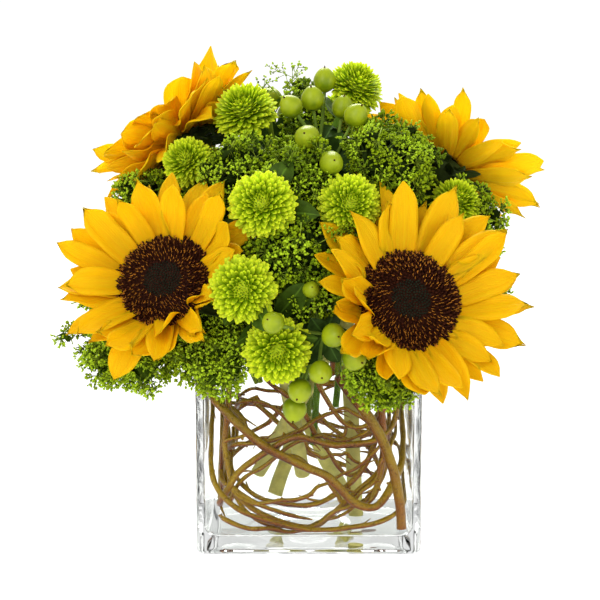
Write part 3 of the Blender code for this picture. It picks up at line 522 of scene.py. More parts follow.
def mottled_finish(name, tint, roughness, size=260, spread=0.35, depth=0.2 * MM):
    """Plant tissue of one colour, mottled lighter and darker on a small scale."""
    finish = Finish(name, tint, roughness)
    spots = finish.noise(finish.place(), size)
    finish.dress(Base_Color=finish.ramp(spots, (0.3, scaled(tint, 1 - spread)),
                                        (0.7, scaled(tint, 1 + spread))))
    return finish.relief(spots, 0.4, depth)


def mum_finish(name, tip, base):
    """Lime petal: deep green at its foot, pale at its tip."""
    finish = Finish(name, tip, 0.5, Subsurface_Weight=0.35,
                    Subsurface_Radius=(0.7, 1.0, 0.05), Subsurface_Scale=1.2 * MM)
    middle = tuple(0.62 * b + 0.38 * t for b, t in zip(base, tip))
    return finish.dress(Base_Color=finish.ramp(
        finish.part(finish.uv(), "Y"), (0.0, scaled(base, 0.6)), (0.35, base),
        (0.70, middle), (1.0, tip)))


def berry_finish(fruit, shade):
    """Waxy berry skin, paler towards its top, with soft blotches."""
    finish = Finish("berry_skin", fruit, 0.36, 0.22)
    skin = finish.ramp(finish.noise(finish.place(), 120, 2), (0.35, shade), (0.62, fruit))
    pale = tuple(min(1.0, c * 1.2 + 0.01) for c in fruit)
    top = finish.ramp(finish.part(finish.uv(), "Y"), (0.45, BLACK), (0.95, (0.6, 0.6, 0.6)))
    return finish.dress(Base_Color=finish.blend(top, skin, pale))


def leaf_finish(name, tint):
    """A leaf with a pale middle rib, mottled like other plant tissue."""
    finish = Finish(name, tint, 0.42)
    rib = finish.ramp(finish.part(finish.uv(), "X"), (0.44, BLACK), (0.5, WHITE),
                      (0.56, BLACK))
    spots = finish.noise(finish.place(), 220)
    body = finish.ramp(spots, (0.3, scaled(tint, 0.6)), (0.7, scaled(tint, 1.3)))
    finish.dress(Base_Color=finish.blend(rib, body, scaled(tint, 2.4)))
    return finish.relief(spots, 0.3, 0.3 * MM)


# -------------------------------------------------------------- points and skins
def mm(place):
    return Vector(place) * MM


def round_z(turn, radius=1.0, height=0.0):
    """The point at a turn about Z."""
    return Vector((radius * math.cos(turn), radius * math.sin(turn), height))


def middle_of(points):
    return sum(points, Vector()) / len(points)


def flat_out(point):
    """The direction away from the Z axis, in the plane of the floor."""
    return Vector((point.x, point.y, 0)).normalized()


def frame_at(place, facing, size=1.0):
    """A frame at a place whose Z looks along facing."""
    turn = Vector(facing).to_track_quat('Z', 'Y').to_matrix().to_4x4()
    return Matrix.Translation(place) @ turn @ Matrix.Scale(size, 4)


def smooth_path(keys, count):
    """Evenly numbered points on a Catmull-Rom curve through the keys."""
    points = []
    for i in range(count):
        t = i * (len(keys) - 1) / (count - 1)
        k = min(int(t), len(keys) - 2)
        t -= k
        a, b, c, d = (keys[min(max(k + j, 0), len(keys) - 1)] for j in (-1, 0, 1, 2))
        points.append(0.5 * (2 * b + (c - a) * t + (2 * a - 5 * b + 4 * c - d) * t ** 2
                             + (3 * b - a - 3 * c + d) * t ** 3))
    return points


class Skin:
    """Gathers the points, faces, UVs and finish numbers of one mesh."""

    def __init__(self):
        self.verts = []
        self.faces = []
        self.uvs = []
        self.finishes = []

    def face(self, corners, uvs, finish):
        self.faces.append(corners)
        self.uvs.append(uvs)
        self.finishes.append(finish)

    def sheet(self, rows, finish=0, closed=False):
        """Rows of points joined by quads; U runs across a row, V from row to row.

        A closed sheet is a tube with a cap at each end."""
        base, wide, tall = len(self.verts), len(rows[0]), len(rows)
        for row in rows:
            self.verts.extend(row)
        cells = wide if closed else wide - 1
        for r in range(tall - 1):
            low = base + r * wide
            high = low + wide
            v0, v1 = r / (tall - 1), (r + 1) / (tall - 1)
            for c in range(cells):
                d = (c + 1) % wide
                u0, u1 = c / cells, (c + 1) / cells
                self.face((low + c, low + d, high + d, high + c),
                          [(u0, v0), (u1, v0), (u1, v1), (u0, v1)], finish)
        if closed:
            last = base + (tall - 1) * wide
            self.face(tuple(range(base, base + wide))[::-1], [(0.5, 0.0)] * wide, finish)
            self.face(tuple(range(last, last + wide)), [(0.5, 1.0)] * wide, finish)

    def turned(self, frame, profile, sides, finish=0, unit=1.0):
        """A turned shape about the frame's Z; (radius, height) runs from low to high."""
        self.sheet([[frame @ round_z(2 * math.pi * k / sides, radius * unit, height * unit)
                     for k in range(sides)] for radius, height in profile], finish, True)

    def mesh(self, name, materials):
        mesh = bpy.data.meshes.new(name)
        mesh.from_pydata([tuple(v) for v in self.verts], [], self.faces)
        layer = mesh.uv_layers.new(name="UVMap")
        layer.data.foreach_set("uv", [x for face in self.uvs for uv in face for x in uv])
        for material in materials:
            mesh.materials.append(material)
        mesh.polygons.foreach_set("material_index", self.finishes)
        mesh.shade_smooth()
        mesh.update()
        return mesh

    def item(self, name, materials):
        return placed(name, self.mesh(name, materials))


def placed(name, mesh):
    item = bpy.data.objects.new(name, mesh)
    bpy.context.scene.collection.objects.link(item)
    return item


def remove(*items):
    for item in items:
        bpy.data.objects.remove(item)


def given_slot(mesh, slot):
    """The mesh, with all its faces in one material slot."""
    mesh.polygons.foreach_set("material_index", [slot] * len(mesh.polygons))
    return mesh


def joined(name, meshes, materials):
    """One object of several meshes that share a list of materials."""
    shape = bmesh.new()
    for mesh in meshes:
        shape.from_mesh(mesh)
        bpy.data.meshes.remove(mesh)
    whole = bpy.data.meshes.new(name)
    shape.to_mesh(whole)
    shape.free()
    for material in materials:
        whole.materials.append(material)
    return placed(name, whole)


def evaluated(item, modifier):
    """The mesh that a modifier makes of an item, which then loses the modifier."""
    view = bpy.context.evaluated_depsgraph_get()
    mesh = bpy.data.meshes.new_from_object(item.evaluated_get(view))
    item.modifiers.remove(modifier)
    return mesh


def thickened(item, thick):
    """The item's sheets with a real thickness, as a plain closed mesh."""
    solid = item.modifiers.new("thickness", 'SOLIDIFY')
    solid.thickness = thick
    solid.offset = 0.0
    item.data = evaluated(item, solid)
    return item


def keep(item, slot, *nodes):
    """Attaches a finished piece to the root body and hides the nodes it stands for; the slot is
    not used.
    """
    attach(item, "root")
    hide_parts(*nodes)


# ------------------------------------------------------------- geometry nodes
class Tree(Nodes):
    """A Geometry Nodes tree; its inputs are given as one string of names for each kind."""

    def __init__(self, name, **kinds):
        super().__init__(bpy.data.node_groups.new(name, 'GeometryNodeTree'))
        self.ids = {}
        for kind, names in {"Geometry": "Geometry", "Material": "Material", **kinds}.items():
            for label in names.split():
                label = label.replace("_", " ")
                self.ids[label] = self.socket(label, 'INPUT', kind).identifier
        self.socket("Geometry", 'OUTPUT', "Geometry")
        self.given = self.tree.nodes.new('NodeGroupInput').outputs

    def socket(self, label, way, kind):
        return self.tree.interface.new_socket(name=label, in_out=way,
                                              socket_type='NodeSocket' + kind)

    def math(self, operation, *values):
        return self.node('ShaderNodeMath', *values, traits={"operation": operation}).outputs[0]

    def times(self, a, b):
        return self.math('MULTIPLY', a, b)

    def minus(self, a, b):
        return self.math('SUBTRACT', a, b)

    def scaled(self, vector, share):
        return self.node('ShaderNodeVectorMath', vector, traits={"operation": 'SCALE'},
                         Scale=share).outputs[0]

    def run(self, ends, factor):
        """From the input called Inner or From to its partner, by a factor from 0 to 1."""
        low, high = (self.given[label] for label in ends)
        return self.math('MULTIPLY_ADD', self.minus(high, low), factor, low)

    def triple(self, x, y, z):
        return self.node('ShaderNodeCombineXYZ', x, y, z).outputs[0]

    def turn(self, x, y, z):
        return self.node('FunctionNodeEulerToRotation', self.triple(x, y, z)).outputs[0]

    def dice(self, low, high, draw=0.0):
        """A random value for each point; the draw keeps it apart from the others."""
        node = self.node('FunctionNodeRandomValue', traits={"data_type": 'FLOAT'})
        seed = self.math('ADD', self.given["Seed"], draw) if draw else self.given["Seed"]
        for index, value in ((2, low), (3, high), (8, seed)):
            self.set(node.inputs[index], value)
        return node.outputs[1]

    def copies(self, label, points, turn, size, chosen):
        """Ends the tree with copies of the object in an input, set on the chosen points."""
        source = self.node('GeometryNodeObjectInfo', Object=self.given[label])
        self.finish(self.node('GeometryNodeInstanceOnPoints', Points=points, Rotation=turn,
                              Instance=source.outputs["Geometry"], Scale=self.triple(*size),
                              Selection=chosen))

    def finish(self, node):
        """Ends the tree: instances made real, then given the material."""
        real = self.node('GeometryNodeRealizeInstances', Geometry=node.outputs[0]).outputs[0]
        dressed = self.node('GeometryNodeSetMaterial', Geometry=real,
                            Material=self.given["Material"]).outputs[0]
        self.node('NodeGroupOutput', dressed)

    def apply(self, item, **values):
        """Runs the tree on an object and returns the mesh that it makes."""
        modifier = item.modifiers.new(self.tree.name, 'NODES')
        modifier.node_group = self.tree
        for label, value in values.items():
            modifier[self.ids[label.replace("_", " ")]] = value
        return evaluated(item, modifier)


def spiral_tree():
    """Copies of a petal or floret set on a dome in a golden spiral.

    A share of 0 is the middle of the bloom and 1 is its edge."""
    tree = Tree("spiral_head", Object="Petal", Int="Count Seed",
                Float="From To Radius Height Dish Sweep Lean Inner_width Outer_width "
                      "Inner_length Outer_length Jitter Kept")
    given = tree.given
    points = tree.node('GeometryNodePoints', given["Count"]).outputs[0]
    index = tree.node('GeometryNodeInputIndex').outputs[0]
    part = tree.math('DIVIDE', tree.math('ADD', index, 0.5), given["Count"])
    share = tree.run(("From", "To"), part)
    sweep = tree.times(given["Sweep"], tree.math('SQRT', share))
    turn = tree.times(index, GOLDEN)
    ring = tree.times(given["Radius"], tree.math('SINE', sweep))
    dish = tree.times(given["Dish"], tree.math('POWER', tree.minus(1.0, share), 5.0))
    rise = tree.minus(tree.times(given["Height"], tree.math('COSINE', sweep)), dish)
    place = tree.triple(tree.times(ring, tree.math('COSINE', turn)),
                        tree.times(ring, tree.math('SINE', turn)), rise)
    sway = tree.dice(tree.times(given["Jitter"], -1.0), given["Jitter"])
    lean = tree.math('MULTIPLY_ADD', sweep, given["Lean"], sway)
    aside = tree.dice(-0.25, 0.25, 1.0)
    size = tree.dice(0.86, 1.12, 2.0)
    width = tree.times(size, tree.run(("Inner width", "Outer width"), share))
    tall = tree.times(size, tree.run(("Inner length", "Outer length"), share))
    set_out = tree.node('GeometryNodeSetPosition', points, Position=place).outputs[0]
    tree.copies("Petal", set_out, tree.turn(0.0, lean, tree.math('ADD', turn, aside)),
                (width, width, tall),
                tree.math('LESS_THAN', tree.dice(0.0, 1.0, 3.0), given["Kept"]))
    return tree


def cover_tree():
    """Sprays scattered over a surface, each standing along the surface's normal."""
    tree = Tree("spray_cover", Object="Spray", Int="Seed",
                Float="Apart Smallest Largest Sway Lift Above Below")
    given = tree.given
    most = tree.math('DIVIDE', 2.0, tree.times(given["Apart"], given["Apart"]))
    spread = tree.node('GeometryNodeDistributePointsOnFaces', Mesh=given["Geometry"],
                       Distance_Min=given["Apart"], Density_Max=most, Seed=given["Seed"],
                       traits={"distribute_method": 'POISSON'}).outputs
    sway = given["Sway"]
    low = tree.times(sway, -1.0)
    lean = tree.turn(tree.dice(low, sway, 1.0), tree.dice(low, sway, 2.0),
                     tree.dice(0.0, 2 * math.pi, 3.0))
    turned = tree.node('FunctionNodeRotateRotation', spread["Rotation"], lean,
                       traits={"rotation_space": 'LOCAL'}).outputs[0]
    size = tree.dice(given["Smallest"], given["Largest"], 4.0)
    draw = tree.dice(0.0, 1.0, 5.0)
    chosen = tree.times(tree.math('GREATER_THAN', draw, given["Above"]),
                        tree.math('LESS_THAN', draw, given["Below"]))
    raised = tree.scaled(spread["Normal"], tree.dice(0.0, given["Lift"], 6.0))
    points = tree.node('GeometryNodeSetPosition', Geometry=spread["Points"],
                       Offset=raised).outputs[0]
    tree.copies("Spray", points, turned, (size, size, size), chosen)
    return tree


def limb_tree():
    """A round limb along edges; each point's radius is its thick attribute."""
    tree = Tree("round_limb", Int="Sides", Float="Step Knobs Knob_scale")
    given = tree.given
    path = tree.node('GeometryNodeMeshToCurve', Mesh=given["Geometry"]).outputs[0]
    thick = tree.node('GeometryNodeInputNamedAttribute', Name="thick",
                      traits={"data_type": 'FLOAT'}).outputs[0]
    path = tree.node('GeometryNodeResampleCurve', Curve=path, Length=given["Step"],
                     traits={"mode": 'LENGTH'}).outputs[0]
    ring = tree.node('GeometryNodeCurvePrimitiveCircle', Resolution=given["Sides"],
                     Radius=1.0).outputs[0]
    limb = tree.node('GeometryNodeCurveToMesh', Curve=path, Profile_Curve=ring, Scale=thick,
                     Fill_Caps=True).outputs[0]
    grain = tree.node('ShaderNodeTexNoise', Scale=given["Knob scale"], Detail=2.0).outputs[0]
    push = tree.times(tree.minus(grain, 0.5), tree.times(given["Knobs"], 2.0))
    normal = tree.node('GeometryNodeInputNormal').outputs[0]
    limb = tree.node('GeometryNodeSetPosition', Geometry=limb,
                     Offset=tree.scaled(normal, push)).outputs[0]
    tree.finish(tree.node('GeometryNodeSetShadeSmooth', Geometry=limb))
    return tree


def grow_limbs(name, paths, material, sides, knobs=0.0, knob_scale=90.0, step=2.5 * MM):
    """A mesh of round limbs; each path is its points and the radius at each of them."""
    verts = []
    edges = []
    radii = []
    for points, thick in paths:
        edges += [(len(verts) + i, len(verts) + i + 1) for i in range(len(points) - 1)]
        verts += [tuple(p) for p in points]
        radii += list(thick)
    mesh = bpy.data.meshes.new(name)
    mesh.from_pydata(verts, edges, [])
    mesh.attributes.new("thick", 'FLOAT', 'POINT').data.foreach_set("value", radii)
    guide = placed(name, mesh)
    grown = limb_tree().apply(guide, Material=material, Sides=sides, Step=step, Knobs=knobs,
                              Knob_scale=knob_scale)
    remove(guide)
    return grown


def scatter_spiral(tree, template, material, at, count, reach, widths, tall, size, **values):
    """The mesh of one spiral head, set in place.

    The widths and the heights are those of its parts in the middle and at the edge."""
    holder = placed("spiral_holder", bpy.data.meshes.new("spiral_holder"))
    mesh = tree.apply(holder, Petal=template, Material=material, Count=count, From=reach[0],
                      To=reach[1], Inner_width=widths[0] * size, Outer_width=widths[1] * size,
                      Inner_length=tall[0] * size, Outer_length=tall[1] * size, **values)
    remove(holder)
    mesh.transform(at)
    return mesh


# ----------------------------------------------------------------------- vase
def rounded_square(half, corner, height, steps=8):
    points = []
    corner = max(corner, 0.2 * MM)
    for quarter in range(4):
        middle = Vector((half - corner, half - corner, 0))
        for i in range(steps + 1):
            spot = middle + round_z(i * math.pi / 2 / steps) * corner
            spot = Matrix.Rotation(quarter * math.pi / 2, 3, 'Z') @ spot
            points.append(Vector((spot.x, spot.y, height)))
    return points


def arc(start, end, steps):
    """Shares of two perpendicular radii along an arc between two angles in degrees."""
    for i in range(steps + 1):
        t = math.radians(start + (end - start) * i / steps)
        yield math.cos(t), math.sin(t)


def vase_levels(vase):
    """(half width, corner radius, height) of each level: foot, side, rim, well."""
    half, rim = VASE_SIDE / 2, vase.rim
    levels = [(3 * MM, 1.5 * MM, vase.kick)]
    # The foot outwards from there: inset in mm, and height as a share of the kick.
    for inset, height in ((30, 1.0), (13, 0.92), (10, 0.7), (8.5, 0.35), (7.5, 0.08)):
        levels.append((half - inset * MM, vase.corner, vase.kick * height))
    for c, s in arc(-90, 0, 5):
        inset = rim * (1 - c)
        levels.append((half - inset, vase.corner - inset, rim + rim * s))
    lip = min(rim, VASE_WALL / 2)
    for c, s in arc(0, 180, 9):
        middle = half - VASE_WALL / 2
        across = c * VASE_WALL / 2
        levels.append((middle + across, vase.corner + (half - middle - across) * 0.5,
                       VASE_HEIGHT - lip + lip * s))
    return levels


def well_levels(vase, grown):
    """The rounded foot of the well and its gently domed floor."""
    bend = 5 * MM
    levels = []
    for c, s in arc(0, -90, 6):
        inset = bend * (1 - c)
        levels.append((INNER_HALF + grown - inset, max(vase.well - inset, 3 * MM),
                       VASE_FLOOR - grown + bend + bend * s))
    for share in (0.9, 0.78, 0.66, 0.54, 0.42, 0.3, 0.18, 0.05):
        half = (INNER_HALF - bend) * share
        bell = (0.5 + 0.5 * math.cos(math.pi * min(1.0, share / 0.8))) ** 0.9
        levels.append((half, half * (1 - 0.8 * share), VASE_FLOOR - grown + vase.dome * bell))
    return levels


def waved(points, depth):
    """Points moved in and out by slow waves, as in pressed glass."""
    moved = []
    for p in points:
        wave = math.sin(p.z * 120 + p.x * 60) + math.sin(p.z * 290 - p.y * 80 + 1.7)
        moved.append(p + flat_out(p) * wave * depth * 0.5)
    return moved


def clear_piece(name, rows, finish, *nodes):
    """A closed clear piece, from the rows of points round it; its faces look outwards."""
    skin = Skin()
    skin.sheet(rows, 0, True)
    item = skin.item(name, [finish])
    shape = bmesh.new()
    shape.from_mesh(item.data)
    bmesh.ops.remove_doubles(shape, verts=shape.verts, dist=0.01 * MM)
    bmesh.ops.recalc_face_normals(shape, faces=shape.faces)
    shape.to_mesh(item.data)
    shape.free()
    keep(item, "clear_glass", *nodes)


def make_vase(vase):
    """The cup of thick glass; its well is waved down to the bend at its foot."""
    inner = [(INNER_HALF, vase.well, VASE_HEIGHT - 6 * MM - k * 4.6 * MM) for k in range(24)]
    inner = [rounded_square(*level) for level in inner + well_levels(vase, 0.0)]
    rows = [rounded_square(*level) for level in vase_levels(vase)]
    rows += [waved(row, vase.waves) for row in inner[:26]] + inner[26:]
    clear_piece("glass_vase", rows, clear_finish("clear_glass", vase.glass, GLASS_BEND),
                "vase")


def make_water(vase):
    """Water that reaches a hair into the glass, so that no air shows between them."""
    grown = 0.35 * MM
    levels = [(INNER_HALF + grown, vase.well, vase.water_level * share)
              for share in (1.0, 0.9, 0.7, 0.5, 0.3)]
    rows = [rounded_square(*level) for level in levels + well_levels(vase, grown)]
    clear_piece("vase_water", rows, clear_finish("clear_water", vase.water, WATER_BEND))


# --------------------------------------------------------------------- willow
def lane_half(lane, bearing):
    """Half width of the rounded square that a lane of willow follows."""
    inset = COIL_GAP
    for k in range(1, lane):
        inset += 2 * LANE_RADII[k] * MM + COIL_GAP
    if lane:
        ease = max(0.0, 1 - abs(bearing - BRACE_BEARING) / BRACE_SPREAD)
        inset += (2 * LANE_RADII[0] * MM + COIL_GAP) * min(1.0, 2 * ease)
    return INNER_HALF - inset - LANE_RADII[lane] * MM


def lane_point(lane, bearing, height):
    half = lane_half(lane, bearing)
    c, s = math.cos(math.radians(bearing)), math.sin(math.radians(bearing))
    n = LANE_ROUNDNESS if lane else 2 * LANE_ROUNDNESS
    k = (abs(c) ** n + abs(s) ** n) ** (1 / n)
    return Vector((half * c / k, half * s / k, height * MM))


def twig_line(keys, apart):
    """Points (bearing, height) along a twig's keys, so many degrees apart."""
    count = max(9, int(abs(keys[-1][0] - keys[0][0]) / apart))
    return smooth_path([Vector(key) for key in keys], count)


def coil_path(name):
    """The twig's centre line and radii, drawn onto the node's own rings."""
    lane, thick, thin, keys = WILLOW[name]
    cloud = [v.co for v in frame["nodes"]["willow_" + name].data.vertices]
    centres = []
    for spot in twig_line(keys, 12):
        point = lane_point(lane, spot.x, spot.y)
        ring = [v for v in cloud if (v - point).length < thick * MM + 3.0 * MM]
        centres.append(middle_of(ring) if ring else point)
    points = smooth_path(centres, 5 * len(centres))
    radii = [(thick + (thin - thick) * i / (len(points) - 1)) * MM for i in range(len(points))]
    return points, radii


def loose_path(lane, thick, thin, keys, dice):
    """The centre line and radii of a loose twig, with slow random bends."""
    points = []
    for spot in twig_line(keys, 9):
        sway = Vector((0, 0, dice.uniform(-1.6, 1.6) * MM))
        points.append(lane_point(lane, spot.x + dice.uniform(-1.5, 1.5), spot.y) + sway)
    points = smooth_path(points, 5 * len(points))
    last = len(points) - 1
    radii = [(thick + (thin - thick) * i / last) * MM * min(1.0, 0.25 + min(i, last - i) / 6)
             for i in range(last + 1)]
    return points, radii


def side_shoots(points, radii, dice):
    """Short dead shoots that fork off a twig here and there."""
    shoots = []
    i = dice.randint(8, 16)
    while i < len(points) - 6:
        ahead = (points[i + 1] - points[i]).normalized()
        inward = -flat_out(points[i])
        rise = Vector((0, 0, dice.uniform(-1, 1)))
        way = (ahead * 1.3 + inward * 0.35 + rise).normalized()
        far = dice.uniform(7, 15) * MM
        mid = points[i] + way * far * 0.5
        tip = mid + (way + inward * 0.2 + rise * 0.2).normalized() * far * 0.5
        shoots.append(([points[i], mid, tip], [radii[i] * share for share in (0.5, 0.38, 0.16)]))
        i += dice.randint(14, 30)
    return shoots


def bud_template(material):
    """A small pointed bud that stands on bark, two units tall."""
    skin = Skin()
    skin.turned(Matrix(), [(0.9, -0.6), (1.0, 0.1), (0.7, 0.9), (0.12, 1.5)], 6)
    return skin.item("willow_bud_template", [material])


def make_willow(willow):
    material = bark_finish(willow.bark, willow.olive_and_top_light)
    template = bud_template(material)
    cover = cover_tree()
    dice = random.Random(WILLOW_SEED)
    for number, name in enumerate(WILLOW):
        paths = [coil_path(name)]
        if name != "brace":
            paths += side_shoots(*paths[0], dice)
        for owner, *loose in LOOSE_TWIGS:
            if owner == name:
                path = loose_path(*loose, dice)
                paths += [path, *side_shoots(*path, dice)]
        twig = grow_limbs("twig", paths, material, willow.sides, knobs=willow.knobs,
                          knob_scale=130.0, step=2.0 * MM)
        bark = placed("bark", twig)
        buds = cover.apply(bark, Spray=template, Material=material, Apart=willow.buds,
                           Smallest=0.6 * MM, Largest=1.1 * MM, Sway=0.4, Lift=0.0,
                           Above=0.0, Below=1.0, Seed=number)
        remove(bark)
        item = joined("willow_twig_" + name, [twig, buds], [material])
        keep(item, "willow_bark", "willow_" + name)
    remove(template)


# ---------------------------------------------------------------------- stems
def inside_mouth(point):
    return abs(point.x) < INNER_HALF and abs(point.y) < INNER_HALF


def stem_line(node):
    """Where a node's stem crosses the mouth of the vase, and where its foot is."""
    mesh = frame["nodes"][node].data
    low = [v.co for v in mesh.vertices if v.co.z < VASE_HEIGHT and inside_mouth(v.co)]
    crossings = []
    for edge in mesh.edges:
        a, b = (mesh.vertices[i].co for i in edge.vertices)
        if (a.z - VASE_HEIGHT) * (b.z - VASE_HEIGHT) < 0:
            spot = a.lerp(b, (VASE_HEIGHT - a.z) / (b.z - a.z))
            if inside_mouth(spot):
                crossings.append(spot)
    if not low or not crossings:
        return None
    foot_height = min(v.z for v in low)
    foot = [v for v in low if v.z < foot_height + 4 * MM]
    return middle_of(crossings), middle_of(foot)


def stem_path(start, leave, mouth, foot, steps=14):
    """A curve from a bloom to the mouth of the vase, then straight to the foot."""
    reach = (start - mouth).length * 0.45
    rise = (mouth - foot).normalized()
    a, b, c, d = start, start + leave * reach, mouth + rise * reach, mouth
    points = []
    for i in range(steps + 1):
        t = i / steps
        points.append(a * (1 - t) ** 3 + b * (3 * t * (1 - t) ** 2)
                      + c * (3 * t ** 2 * (1 - t)) + d * t ** 3)
    return points + [mouth.lerp(foot, k / 6) for k in range(1, 7)]


def leave_way(place, facing):
    """The way a stem leaves its bloom: straight back, or upwards where it hangs low."""
    low = max(0.0, min(1.0, (VASE_HEIGHT + 32 * MM - place.z) / (40 * MM)))
    back = -Vector(facing).normalized()
    return (back * (1 - low) + (UP - flat_out(place) * 0.35) * low).normalized()


def thin_stem(node, place, facing, radius, dice):
    """Path and radii of a node's thin stem, or nothing where its solid has none."""
    line = stem_line(node)
    if line is None:
        return None
    mouth, foot = line
    foot = foot + (foot - mouth).normalized() * LONGER.get(node, 0.0)
    room = INNER_HALF - 8 * MM
    foot.x = max(-room, min(room, foot.x))
    foot.y = max(-room, min(room, foot.y))
    points = stem_path(place, leave_way(place, facing), mouth, foot)
    return points, [radius * dice.uniform(0.95, 1.05) for _ in points]


# ---------------------------------------------------------- petals and leaves
def angle(dice, low, high):
    """A random angle between two limits in degrees."""
    return math.radians(dice.uniform(low, high))


def petal_width(t, widest, tip):
    """Share of the full width along a petal; a larger tip gives a blunter point."""
    if t < widest:
        return 0.50 + 0.50 * math.sin(math.pi / 2 * t / widest)
    return max(0.05, math.cos(math.pi / 2 * ((t - widest) / (1 - widest)) ** tip))


def petal_sheet(skin, at, turn, long, wide, finish=0, steps=9, cells=6, start=1 * MM,
                height=0.0, cup=0.0, flat=0.01, bend=0.0, hook=0.0, aside=0.0, twist=0.0,
                fold=0.0, groove=0.0, ripple=0.0, waves=1.0, phase=0.0, widest=0.45,
                tip=1.7, tooth=0.0):
    """One petal, leaf or bract as a bent, grooved and rippled sheet.

    It stands up by the cup, bends along its length and again near its tip by the hook.
    Fold, groove and ripple are shares of its half width, and angles are in radians."""
    out = round_z(turn)
    across = UP.cross(out)
    point = out * start + UP * height
    rows = []
    for i in range(steps + 1):
        t = i / steps
        lean = cup * min(1.0, t / flat) + bend * t
        lean += hook * max(0.0, t - 0.6) / 0.4
        ahead = out * math.cos(lean) + UP * math.sin(lean)
        ahead = (ahead + across * aside * t).normalized()
        if i:
            point = point + ahead * long / steps
        side = (across - ahead * across.dot(ahead)).normalized()
        lift = ahead.cross(side)
        roll = twist * t
        side, lift = (side * math.cos(roll) + lift * math.sin(roll),
                      lift * math.cos(roll) - side * math.sin(roll))
        half = wide / 2 * petal_width(t, widest, tip)
        notch = tooth * max(0.0, t - 0.8) / 0.2
        wave = math.sin(2 * math.pi * (waves * t + phase))
        row = []
        for k in range(cells + 1):
            s = 2 * k / cells - 1
            rise = fold * half * abs(s) ** 1.6
            rise += groove * half * math.cos(3 * math.pi * s)
            rise += ripple * half * s * abs(s) * wave
            row.append(at @ (point + side * s * half + lift * rise
                             - ahead * (notch * math.cos(math.pi * 2 * s))))
        rows.append(row)
    skin.sheet(rows, finish)


def ray_petal(skin, at, k, layer, flower, habit, dice):
    """One ray petal; those near the curled side are short and bent in."""
    curled, lift, long, wide, shorter, layers = habit
    turn = 2 * math.pi * (k + layer / layers + dice.uniform(-0.28, 0.28)) / flower.petals
    apart = turn - math.radians(curled)
    apart = math.degrees(math.atan2(math.sin(apart), math.cos(apart)))
    curl = max(0.0, 1 - abs(apart) / CURL_SPREAD) * dice.uniform(0.5, 1.15)
    cup = math.radians(dice.uniform(27, 36) + 7 * (k % 2) - 16 * layer)
    petal_sheet(
        skin, at, turn, steps=14, cells=8,
        start=dice.uniform(15, 16.5) * MM,
        height=(-1.6 - 1.8 * layer + 0.8 * (k % 2)) * MM,
        flat=0.24,
        cup=cup + math.radians(lift + 14 * curl),
        bend=math.radians(dice.uniform(-12, 14) + 20 * curl),
        hook=math.radians(dice.uniform(-38, 30) + 40 * curl * dice.choice((1, -1))),
        aside=dice.uniform(-0.32, 0.32),
        widest=dice.uniform(0.40, 0.62),
        tip=dice.uniform(1.5, 2.8),
        tooth=dice.choice((0, 0.5, 1.0, 1.6)) * MM,
        long=(flower.petal_length * long * dice.uniform(0.84, 1.12)
              * max(0.25, 1 - shorter * curl)),
        wide=flower.petal_width * wide * dice.uniform(0.80, 1.14) * (1 - 0.18 * curl),
        twist=dice.uniform(-0.6, 0.6) * (1 + 1.2 * curl),
        fold=dice.uniform(0.05, 0.45),
        groove=dice.uniform(0.04, 0.09),
        ripple=dice.uniform(0.06, 0.26),
        waves=dice.uniform(0.8, 2.0),
        phase=dice.random())


def bract(skin, at, k, count, row, dice):
    """A pointed green bract with a long thin tail."""
    petal_sheet(
        skin, at, 2 * math.pi * (k + row / 2 + dice.uniform(-0.25, 0.25)) / count, cells=4,
        start=(14 - 3 * row) * MM, height=(-6.5 - 4 * row) * MM,
        cup=math.radians(dice.uniform(-28, 8) - 12 * row), bend=angle(dice, -30, 30),
        hook=angle(dice, -70, 70), aside=dice.uniform(-0.3, 0.3),
        long=dice.uniform(13, 22) * MM, wide=dice.uniform(5.0, 7.0) * MM,
        twist=dice.uniform(-0.9, 0.9), fold=dice.uniform(0.2, 0.6), groove=0.03,
        ripple=0.1, waves=1.2, phase=dice.random())


def make_blades(skin, points, stretch, count, long, wide, dice):
    """Leaves along a stretch of a stem, whose points run down from its bloom."""
    for k in range(count):
        i = dice.randint(*stretch)
        at = frame_at(points[i], points[i - 1] - points[i + 1])
        petal_sheet(
            skin, at, k * GOLDEN + dice.uniform(-0.4, 0.4), finish=2,
            cup=angle(dice, 5, 55), bend=angle(dice, -50, 0), hook=angle(dice, -30, 10),
            aside=dice.uniform(-0.2, 0.2), long=long * dice.uniform(0.7, 1.1),
            wide=wide * dice.uniform(0.8, 1.1), twist=dice.uniform(-0.4, 0.4), fold=0.25,
            groove=0.02, ripple=0.12, waves=2.5, phase=dice.random())


# ----------------------------------------------------------------- sunflowers
def floret_template(material):
    """A slender five-pointed floret, one unit tall."""
    skin = Skin()
    skin.turned(Matrix(), [(0.42, -0.15), (0.5, 0.35), (0.66, 0.72), (0.30, 0.86),
                           (0.05, 1.0)], 5)
    return skin.item("floret_template", [material])


def stigma_template(material):
    """Two thin tips that curl away from each other, one unit tall."""
    skin = Skin()
    for way in (1, -1):
        rows = []
        for i in range(5):
            t = i / 4
            middle = Vector((way * (0.12 + 0.55 * t * t), 0.15 * way * t,
                             0.55 + 0.75 * t - 0.45 * t ** 3))
            rows.append([middle + round_z(a, 0.15 * (1 - 0.75 * t)) for a in (0, 2.1, 4.2)])
        skin.sheet(rows, 0, True)
    return skin.item("stigma_template", [material])


